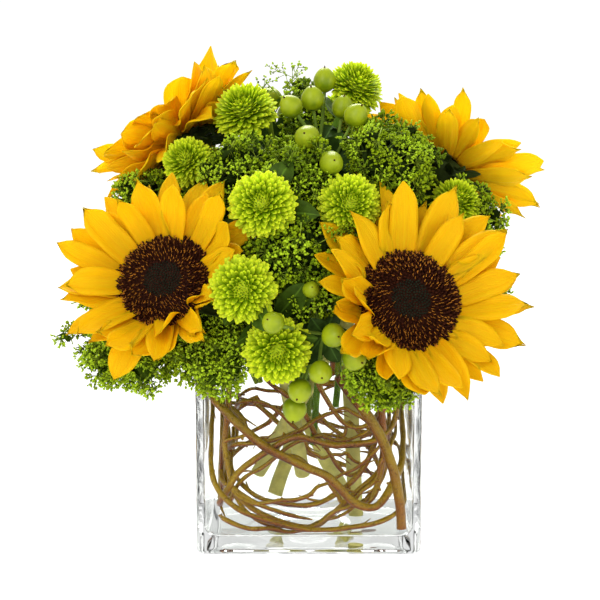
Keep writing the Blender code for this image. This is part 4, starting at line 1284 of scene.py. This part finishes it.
def make_disc(name, at, flower, seed, tree, templates, finishes):
    """The dark disc: a dished base, closed florets in the middle, open ones round it."""
    floret, stigma = templates
    brown, middle, gold = finishes
    low = at @ Matrix.Translation((0, 0, -2.2 * MM))
    sweep = math.radians(62)
    shared = {"Radius": flower.disc_radius / math.sin(sweep), "Height": 9.5 * MM,
              "Dish": 2.6 * MM, "Sweep": sweep, "Lean": 0.75}
    skin = Skin()
    skin.turned(at, [(16, -1.5), (22, -0.6), (26.0, 1.4), (26.0, 3.4), (22, 4.4), (15, 5.6),
                     (8, 5.4), (2, 4.8)], 40, unit=MM)
    meshes = [skin.mesh("base", [brown])]
    # template, finish, count, shares of the disc, widths and heights in mm, jitter, kept
    rings = (
        (floret, brown, flower.florets, (0.10, 1.0), (1.0, 1.25), (2.4, 3.9), 0.22, 1.0),
        (floret, middle, flower.buds, (0.0, 0.12), (1.0, 1.15), (1.5, 2.3), 0.15, 1.0),
        (stigma, gold, flower.florets, (0.11, 0.99), (1.35, 1.75), (3.0, 4.3), 0.35, 0.62))
    for slot, (template, finish, count, reach, widths, tall, jitter, kept) in enumerate(rings):
        ring = scatter_spiral(tree, template, finish, low, count, reach, widths, tall, MM,
                              Seed=seed + 10 * slot, Jitter=jitter, Kept=kept, **shared)
        meshes.append(given_slot(ring, slot))
    item = joined("sunflower_florets_" + name, meshes, finishes)
    keep(item, "sunflower_disc", "sunflower_" + name + "_disc")


def make_rays(name, at, flower, habit, dice, material):
    skin = Skin()
    for layer in range(habit[-1]):
        for k in range(flower.petals):
            ray_petal(skin, at, k, layer, flower, habit, dice)
    item = thickened(skin.item("sunflower_petals_" + name, [material]), PETAL_THICK)
    keep(item, "sunflower_yellow", "sunflower_" + name + "_rays")


def make_calyx(name, at, facing, flower, dice, finishes):
    """The green cup and bracts behind a head, with its thick stem and its leaves."""
    node = "sunflower_" + name + "_stem"
    bracts = Skin()
    for row, count in ((0, 15), (1, 12)):
        for k in range(count):
            bract(bracts, at, k, count, row, dice)
    cup = Skin()
    cup.turned(at, [(4.6, -22), (6.2, -18.5), (9.5, -15), (13, -11.5), (15.4, -8),
                    (16.6, -4.5), (15, -2.6)], 30, unit=MM)
    start = at @ Vector((0, 0, -17 * MM))
    points = stem_path(start, leave_way(start, facing), *stem_line(node))
    blades = Skin()
    make_blades(blades, points, (2, 8), 6, 36 * MM, 24 * MM, dice)
    radii = [SUNFLOWER_STEM * (1 - 0.06 * i / len(points)) for i in range(len(points))]
    sheets = (thickened(bracts.item("bracts", finishes), BRACT_THICK),
              thickened(blades.item("blades", finishes), LEAF_THICK))
    meshes = [sheet.data for sheet in sheets]
    remove(*sheets)
    stem = grow_limbs("stem", [(points, radii)], finishes[1], 16, knobs=0.25 * MM,
                      knob_scale=60.0)
    meshes += [cup.mesh("cup", finishes), given_slot(stem, 1)]
    keep(joined("sunflower_calyx_" + name, meshes, finishes), "sunflower_green", node)


def make_sunflowers(flower):
    yellow = petal_finish("sunflower_petal", flower.petal_tip, flower.petal_base)
    painted_backlight_yellow = petal_finish("sunflower_petal_back", flower.painted_backlight_tip, flower.painted_backlight_base)
    greens = [mottled_finish("calyx_green", flower.calyx, 0.5, size=180),
              mottled_finish("stem_green", flower.stem, 0.45, size=120, spread=0.22),
              leaf_finish("sunflower_leaf", flower.leaf)]
    finishes = [mottled_finish("floret_brown", flower.floret, 0.55, size=500, spread=0.5),
                mottled_finish("floret_middle", flower.middle, 0.6, size=500, spread=0.4),
                mottled_finish("stigma_gold", flower.stigma, 0.5, size=350, spread=0.6)]
    templates = (floret_template(finishes[0]), stigma_template(finishes[2]))
    tree = spiral_tree()
    for number, (name, row) in enumerate(SUNFLOWERS.items()):
        place, facing, size, *habit, seed = row
        at = frame_at(mm(place), facing, size)
        dice = random.Random(seed)
        make_disc(name, at, flower, 40 * number, tree, templates, finishes)
        # The upper heads, seen from behind, get the brighter copy of the petals: painted light.
        make_rays(name, at, flower, habit, dice,
                  painted_backlight_yellow if name.startswith("upper") else yellow)
        make_calyx(name, at, facing, flower, dice, greens)
    remove(*templates)


# ----------------------------------------------------------------------- mums
def spoon_template(material):
    """A narrow petal cupped and bent towards the middle, one unit tall and wide."""
    skin = Skin()
    rows = []
    for i in range(6):
        t = i / 5
        half = 0.5 * (0.45 + 0.55 * math.sin(math.pi * min(1.0, t * 0.78 + 0.08)))
        half *= 1.0 if t < 0.95 else 0.35
        bend = -0.30 * t * t
        rows.append([Vector((bend + cup, y * half, t))
                     for y, cup in ((-1, -0.22 * half), (0, 0.16 * half), (1, -0.22 * half))])
    skin.sheet(rows)
    return thickened(skin.item("spoon_template", [material]), 0.05)


def make_mums(mums):
    lime = mum_finish("mum_lime", mums.tip, mums.base)
    eye_green = mum_finish("mum_eye", scaled(mums.tip, 0.55), mums.base)
    stem_green = mottled_finish("mum_stem", mums.stem, 0.5, size=150, spread=0.2)
    finishes = [lime, stem_green, leaf_finish("mum_leaf", mums.leaf), eye_green]
    template = spoon_template(lime)
    tree = spiral_tree()
    dice = random.Random(MUM_SEED)
    ball = [(math.sin(t), math.cos(t)) for t in
            (math.pi * (1 - (i + 0.3) / 8.6) for i in range(9))]
    for number, (name, (place, facing, radius)) in enumerate(MUMS.items()):
        size = radius * MM
        at = frame_at(mm(place), facing)
        shared = {"Radius": 0.42 * size, "Height": 0.42 * size, "Dish": 0.0, "Kept": 1.0,
                  "Sweep": math.radians(118), "Lean": 0.92, "Jitter": 0.14}
        petals = scatter_spiral(tree, template, lime, at, mums.petals, (0.06, 1.0),
                                (0.11, 0.215), (0.37, 0.64), size, Seed=7 * number, **shared)
        eye = scatter_spiral(tree, template, eye_green, at, mums.petals // 8, (0.0, 0.07),
                             (0.06, 0.10), (0.28, 0.36), size, Seed=7 * number + 1, **shared)
        heart = Skin()
        heart.turned(at, ball, 16, unit=0.46 * size)
        meshes = [petals, given_slot(eye, 3), heart.mesh("heart", [lime])]
        path = thin_stem("mum_" + name, mm(place), facing, MUM_STEM, dice)
        if path:
            stem = grow_limbs("stem", [path], stem_green, 8)
            blades = Skin()
            make_blades(blades, path[0], (2, 9), 9, mums.leaf_length, 15 * MM, dice)
            meshes += [given_slot(stem, 1), blades.mesh("blades", finishes)]
        keep(joined("mum_bloom_" + name, meshes, finishes), "mum_lime", "mum_" + name)
    remove(template)


# -------------------------------------------------------------------- berries
def make_fruit(skin, place, facing, radius, dice):
    """An egg-shaped berry with three faint lobes, its sepals and its brown point."""
    at = frame_at(place, facing) @ Matrix.Rotation(dice.uniform(0, 6.3), 4, 'Z')
    rows = []
    for i in range(13):
        t = i / 12
        height = radius * (-0.98 + 2.06 * t)
        wide = radius * math.sin(math.pi * (0.04 + 0.92 * t ** 0.92)) ** 0.62
        wide *= 1.0 - 0.10 * t
        turns = [2 * math.pi * k / 18 for k in range(18)]
        rows.append([at @ round_z(a, wide * (1 + 0.022 * math.cos(3 * a)), height)
                     for a in turns])
    skin.sheet(rows, 0, True)
    skin.turned(at, [(0.10, 1.0), (0.07, 1.16), (0.02, 1.28)], 6, 1, radius)
    for k in range(5):
        petal_sheet(skin, at, 2 * math.pi * k / 5 + dice.uniform(-0.2, 0.2), finish=2,
                    steps=5, cells=2, start=0.15 * radius, height=-0.99 * radius,
                    cup=angle(dice, 8, 30), bend=math.radians(40), long=0.95 * radius,
                    wide=0.62 * radius, fold=0.2)


def make_leaves(skin, fork, count, long, dice):
    """Blue-green leaves round a fork, turned outwards."""
    outward = Vector((fork.x, fork.y, 0.3 * (fork.z - VASE_HEIGHT))).normalized()
    at = frame_at(fork, outward)
    for k in range(count):
        petal_sheet(
            skin, at, 2 * math.pi * (k + dice.uniform(-0.2, 0.2)) / count, finish=3, steps=8,
            cup=angle(dice, 15, 60), bend=angle(dice, -35, -5),
            aside=dice.uniform(-0.2, 0.2), long=long * dice.uniform(0.7, 1.1),
            wide=12 * MM * dice.uniform(0.8, 1.1), twist=dice.uniform(-0.3, 0.3),
            fold=0.28, ripple=0.06, waves=1.5, phase=dice.random())


def make_berries(berries):
    finishes = [berry_finish(berries.fruit, berries.shade),
                mottled_finish("berry_point", berries.style, 0.6),
                leaf_finish("berry_sepal", scaled(berries.leaf, 1.8)),
                leaf_finish("berry_leaf", berries.leaf)]
    twig = mottled_finish("berry_stem", berries.stem, 0.5, size=150, spread=0.25)
    dice = random.Random(BERRY_SEED)
    for name, (place, fruit) in BERRY_SPRIGS.items():
        node = "berries_" + name
        fork = mm(place)
        skin = Skin()
        paths = []
        for place, facing, radius in fruit:
            make_fruit(skin, mm(place), facing, radius * MM, dice)
            back = Vector(facing).normalized()
            heel = mm(place) - back * radius * 0.85 * MM
            points = smooth_path([heel, heel.lerp(fork, 0.4) - back * 4 * MM, fork], 8)
            paths.append((points, [1.0 * MM] * len(points)))
        make_leaves(skin, fork, 6, berries.leaf_length, dice)
        stem = thin_stem(node, fork, UP, BERRY_STEM, dice)
        if stem:
            paths.append(stem)
        keep(skin.item("berry_fruit_" + name, finishes), "berry_green", node)
        twigs = placed("berry_twigs_" + name, grow_limbs("twigs", paths, twig, 8))
        keep(twigs, "berry_green", node)


# -------------------------------------------------------------------- fillers
def lean_out(lean, turn):
    """A direction that leans from +Z by an angle, towards a turn about Z."""
    return round_z(turn, math.sin(lean), math.cos(lean))


def any_way(dice):
    return Vector([dice.gauss(0, 1) for _ in range(3)]).normalized()


def stalk_point(height):
    return Vector((0, 0, height))


def limb(skin, root, tip, radius):
    """A three-sided stalk."""
    ahead = (tip - root).normalized()
    side = ahead.orthogonal().normalized()
    other = ahead.cross(side)
    turns = (0, 2 * math.pi / 3, 4 * math.pi / 3)
    ring = [side * math.cos(t) + other * math.sin(t) for t in turns]
    skin.sheet([[root + r * radius for r in ring], [tip + r * radius * 0.6 for r in ring]],
               0, True)


def grain(skin, place, radius, axis):
    """A bud of eight faces, longer than wide."""
    side = axis.orthogonal().normalized()
    other = axis.cross(side)
    base = len(skin.verts)
    skin.verts += [place - axis * radius * 1.4, place + side * radius, place + other * radius,
                   place - side * radius, place - other * radius, place + axis * radius * 1.5]
    for k in range(4):
        a, b = base + 1 + k, base + 1 + (k + 1) % 4
        skin.face((base, b, a), [(0.5, 0), (1, 0.5), (0, 0.5)], 0)
        skin.face((base + 5, a, b), [(0.5, 1), (0, 0.5), (1, 0.5)], 0)


def umbel(tips, inner, stalks, tall, bud, dice):
    """A dome of buds on stalks that part low down, with darker buds inside it as painted shade."""
    root = stalk_point(-0.1 * tall)
    limb(stalks, stalk_point(-0.9 * tall), root, 0.40 * MM)
    for k in range(14):
        lean = math.radians(82) * math.sqrt((k + 0.4) / 14) * dice.uniform(0.85, 1.1)
        way = lean_out(lean, k * GOLDEN + dice.uniform(-0.3, 0.3))
        tip = root + way * tall * dice.uniform(0.50, 0.66)
        limb(stalks, root, tip, 0.22 * MM)
        for _ in range(3):
            spread = any_way(dice)
            place = tip + (spread + way * 0.3) * bud * dice.uniform(0.8, 1.3)
            grain(tips, place, bud * dice.uniform(0.7, 1.15),
                  (way * 1.4 + spread).normalized())
        if k % 2:
            grain(inner, root.lerp(tip, dice.uniform(0.5, 0.75)) + any_way(dice) * bud,
                  bud * 1.2, way)


def feather(tips, inner, stalks, tall, bud, dice):
    """A long loose twig with short side twigs and a few buds at the end of each."""
    limb(stalks, stalk_point(-0.6 * tall), stalk_point(0.72 * tall), 0.34 * MM)
    for k in range(9):
        root = stalk_point(tall * (0.08 + 0.66 * k / 9))
        way = lean_out(angle(dice, 30, 58), k * GOLDEN)
        tip = root + way * tall * (0.40 - 0.022 * k) * dice.uniform(0.8, 1.15)
        limb(stalks, root, tip, 0.24 * MM)
        for share in (0.7, 0.95, 1.05, 1.08):
            # Buds short of the tip go among the darker inner buds, painted shade.
            grain(tips if share > 0.8 else inner,
                  root.lerp(tip, share) + any_way(dice) * bud * 1.1,
                  bud * dice.uniform(0.75, 1.1), (way + any_way(dice)).normalized())
    for _ in range(4):
        grain(tips, stalk_point(0.75 * tall) + any_way(dice) * bud * 1.2, bud, UP)


def spray_templates(shape, tall, bud, seed, finishes):
    """One spray as three templates that share a root: outer buds, inner buds, stalks."""
    skins = (Skin(), Skin(), Skin())
    shape(*skins, tall, bud, random.Random(seed))
    return [skin.item("%s_template_%d" % (kind, seed), [finish])
            for skin, kind, finish in zip(skins, ("tips", "inner", "stalks"), finishes)]


def tuft_surface(name, depth, share=1.0, moved=(0, 0, 0)):
    """The outer faces of a tuft's solid, without its stem, drawn in by a depth."""
    place, reach = FILLERS[name][:2]
    shape = bmesh.new()
    shape.from_mesh(frame["nodes"]["filler_" + name].data)
    centre = mm(place)
    limit = reach * MM * 1.5
    far = [f for f in shape.faces if (f.calc_center_median() - centre).length > limit]
    bmesh.ops.delete(shape, geom=far, context='FACES')
    bmesh.ops.subdivide_edges(shape, edges=shape.edges, cuts=1, use_grid_fill=True, smooth=0.6)
    shape.normal_update()
    for vert in shape.verts:
        bump = ripples.noise(vert.co * 70) * 6 * MM + ripples.noise(vert.co * 170) * 4 * MM
        vert.co += vert.normal * (bump - depth)
        vert.co = centre + (vert.co - centre) * share + mm(moved)
    mesh = bpy.data.meshes.new("tuft")
    shape.to_mesh(mesh)
    shape.free()
    return mesh


def shrunk(mesh, depth):
    """A copy of the mesh drawn in along its normals."""
    inner = mesh.copy()
    normals = [v.normal.copy() for v in inner.vertices]
    for vert, normal in zip(inner.vertices, normals):
        vert.co -= normal * depth
    return inner


def make_tufts(part, names, fillers, finishes, cover):
    """The tufts of one part of the arrangement: buds, twigs with stems, and dark hearts of painted
    shade.
    """
    lit_and_shaded_tints, shade, stalk, heart = finishes
    # In the low and loose parts the inner buds take the dark tint and the hearts the inner-bud
    # colour: lighter painted shade there.
    if part in ("low", "loose"):
        shade, heart = lit_and_shaded_tints[2], shade
    nodes = ["filler_" + name for name in names]
    loose = part == "loose"
    shape = feather if loose else umbel
    tall = fillers.spray_height * (2.5 if loose else 1.0)
    depth = fillers.spray_height * (1.2 if loose else 0.15)
    fine = FINE_BUDS.get(part, 1.0)
    grounds = [(name, *FILLERS[name][3:]) for name in names]
    grounds += [patch for patch in PATCHES if patch[0] in names]
    ground = joined("ground", [tuft_surface(name, depth, *fit) for name, *fit in grounds],
                    [heart])
    values = {"Apart": fillers.apart * (2.3 if loose else fine ** 0.7), "Smallest": 0.75,
              "Largest": 1.25, "Sway": 0.5, "Lift": 0.35 * fillers.spray_height,
              "Seed": len(part) + len(names)}
    shades = lit_and_shaded_tints + [shade] * (shade not in lit_and_shaded_tints)
    buds = []
    stalks = []
    low = 0.0
    for k, (tint, share) in enumerate(zip(lit_and_shaded_tints, SPRAY_LIGHT_SHARES.get(part, SPRAY_LIGHT_SHARES[""]))):
        looks = (tint, shade, stalk)
        templates = spray_templates(shape, tall, fillers.bud * fine, 60 + k, looks)
        values.update(Above=low, Below=low + share)
        for template, pile, finish in zip(templates, (buds, buds, stalks), looks):
            mesh = cover.apply(ground, Spray=template, Material=finish, **values)
            pile.append(given_slot(mesh, shades.index(finish) if pile is buds else 0))
        remove(*templates)
        low += share
    keep(joined("filler_buds_" + part, buds, shades), "filler_green", *nodes)
    dice = random.Random(len(part) + 15)
    for name in names:
        place, _, _, *fit = FILLERS[name]
        moved = fit[1] if fit else (0, 0, 0)
        outward = mm(place) - Vector((0, 0, 0.6 * place[2] * MM))
        path = thin_stem("filler_" + name, mm(place) + mm(moved), outward, FILLER_STEM, dice)
        if path:
            stalks.append(grow_limbs("stems", [path], stalk, 6))
    keep(joined("filler_twigs_" + part, stalks, [stalk]), "filler_green", *nodes)
    if not loose:
        # A dark shell under the sprays: painted shade in the gaps of the tuft.
        painted_shade_shell = shrunk(ground.data, 3.0 * MM)
        keep(placed("filler_hearts_" + part, painted_shade_shell), "filler_green", *nodes)
    remove(ground)


def make_fillers(fillers):
    lit_and_shaded_tints = [mottled_finish("filler_" + kind, getattr(fillers, kind), 0.6, size=400,
                            spread=0.25) for kind in ("bright", "middle", "dark", "shade")]
    shade = lit_and_shaded_tints.pop()
    stalk = mottled_finish("filler_stalk", fillers.stalk, 0.6, size=200, spread=0.2)
    heart = mottled_finish("filler_heart", fillers.heart, 0.8, size=300, spread=0.4,
                           depth=2.0 * MM)
    cover = cover_tree()
    parts = {}
    for name, row in FILLERS.items():
        parts.setdefault(row[2], []).append(name)
    for part, names in parts.items():
        make_tufts(part, names, fillers, (lit_and_shaded_tints, shade, stalk, heart), cover)


# ---------------------------------------------------------------------- stage
def make_floor(stage):
    finish = Finish("floor", stage.floor, 0.9, Emission_Color=WHITE,
                    Emission_Strength=stage.floor_glow)
    mesh = bpy.data.meshes.new("floor")
    far = 12.0
    mesh.from_pydata([(-far, -far, 0), (far, -far, 0), (far, far, 0), (-far, far, 0)], [],
                     [(0, 1, 2, 3)])
    mesh.materials.append(finish.material)
    floor = placed("floor", mesh)
    floor.location.z = -0.05 * MM


def aimed(name, data, place):
    """A light or camera at a place, turned to the middle of the arrangement."""
    item = placed(name, data)
    item.location = place
    way = CAMERA_TARGET - item.location
    item.rotation_euler = way.to_track_quat('-Z', 'Y').to_euler()
    return item


def make_lights(stage):
    world = bpy.data.worlds.new("studio")
    bpy.context.scene.world = world
    world.use_nodes = True
    nodes = Nodes(world.node_tree)
    height = nodes.part(nodes.node("ShaderNodeTexCoord").outputs["Generated"], "Z")
    side, above = (stage.horizon,) * 3, (stage.sky,) * 3
    nodes.feed(world.node_tree.nodes["Background"], Color=nodes.ramp(
        height, (0.0, side), (0.25, side), (0.55, above), (1.0, above)))
    for name, place, watts, size in (
            ("key", (-0.45, -1.0, 0.75), stage.key, 0.8),
            ("fill", (1.15, -0.9, 0.3), stage.fill, 0.9),
            ("top", (-0.05, 0.85, 1.15), stage.top, 0.9)):
        data = bpy.data.lights.new(name, 'AREA')
        data.energy = watts
        data.size = size
        aimed(name, data, place)


def make_camera():
    data = bpy.data.cameras.new("camera")
    data.lens = CAMERA_LENS
    data.sensor_width = 36
    data.clip_end = 100
    tilt = math.radians(CAMERA_TILT)
    back = Vector((0, -math.cos(tilt), math.sin(tilt))) * CAMERA_DISTANCE
    bpy.context.scene.camera = aimed("camera", data, CAMERA_TARGET + back)


# ---------------------------------------------------------------- operators
class ARRANGEMENT_OT_vase(bpy.types.Operator):
    """Make the glass vase and the water in it"""
    bl_idname = "arrangement.vase"
    bl_label = "Vase and Water"

    def execute(self, context):
        make_vase(settings().vase)
        make_water(settings().vase)
        return {'FINISHED'}


class ARRANGEMENT_OT_willow(bpy.types.Operator):
    """Make the curly willow twigs inside the glass"""
    bl_idname = "arrangement.willow"
    bl_label = "Curly Willow"

    def execute(self, context):
        make_willow(settings().willow)
        return {'FINISHED'}


class ARRANGEMENT_OT_sunflowers(bpy.types.Operator):
    """Make the sunflowers: petals, discs, green backs and stems"""
    bl_idname = "arrangement.sunflowers"
    bl_label = "Sunflowers"

    def execute(self, context):
        make_sunflowers(settings().sunflowers)
        return {'FINISHED'}


class ARRANGEMENT_OT_mums(bpy.types.Operator):
    """Make the lime button mums"""
    bl_idname = "arrangement.mums"
    bl_label = "Button Mums"

    def execute(self, context):
        make_mums(settings().mums)
        return {'FINISHED'}


class ARRANGEMENT_OT_berries(bpy.types.Operator):
    """Make the sprigs of green berries"""
    bl_idname = "arrangement.berries"
    bl_label = "Green Berries"

    def execute(self, context):
        make_berries(settings().berries)
        return {'FINISHED'}


class ARRANGEMENT_OT_fillers(bpy.types.Operator):
    """Make the tufts of green filler"""
    bl_idname = "arrangement.fillers"
    bl_label = "Green Filler"

    def execute(self, context):
        make_fillers(settings().fillers)
        return {'FINISHED'}


class ARRANGEMENT_OT_stage(bpy.types.Operator):
    """Make the floor, the lights and the camera"""
    bl_idname = "arrangement.stage"
    bl_label = "Stage"

    def execute(self, context):
        if settings().stage.show:
            make_floor(settings().stage)
        make_lights(settings().stage)
        make_camera()
        context.scene.view_settings.view_transform = 'Standard'
        return {'FINISHED'}


class ARRANGEMENT_PT_panel(bpy.types.Panel):
    """Lists the pieces of the arrangement"""
    bl_idname = "ARRANGEMENT_PT_panel"
    bl_label = "Flower Arrangement"
    bl_space_type = 'VIEW_3D'
    bl_region_type = 'UI'
    bl_category = "Arrangement"

    def draw(self, context):
        for name in ("vase", "willow", "sunflowers", "mums", "berries", "fillers", "stage"):
            box = self.layout.box()
            box.operator("arrangement." + name)
            group = getattr(settings(), name)
            for key in group.__annotations__:
                box.prop(group, key)


CLASSES = (VaseSettings, WillowSettings, SunflowerSettings, MumSettings, BerrySettings,
           FillerSettings, StageSettings, ArrangementSettings, ARRANGEMENT_OT_vase,
           ARRANGEMENT_OT_willow, ARRANGEMENT_OT_sunflowers, ARRANGEMENT_OT_mums,
           ARRANGEMENT_OT_berries, ARRANGEMENT_OT_fillers, ARRANGEMENT_OT_stage,
           ARRANGEMENT_PT_panel)


def register():
    for item in CLASSES:
        bpy.utils.register_class(item)
    bpy.types.Scene.arrangement = PointerProperty(type=ArrangementSettings)


def unregister():
    del bpy.types.Scene.arrangement
    for item in reversed(CLASSES):
        bpy.utils.unregister_class(item)


def main():
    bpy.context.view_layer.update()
    register()
    for name in ("vase", "willow", "sunflowers", "mums", "berries", "fillers", "stage"):
        getattr(bpy.ops.arrangement, name)()


if __name__ == "__main__":
    main()
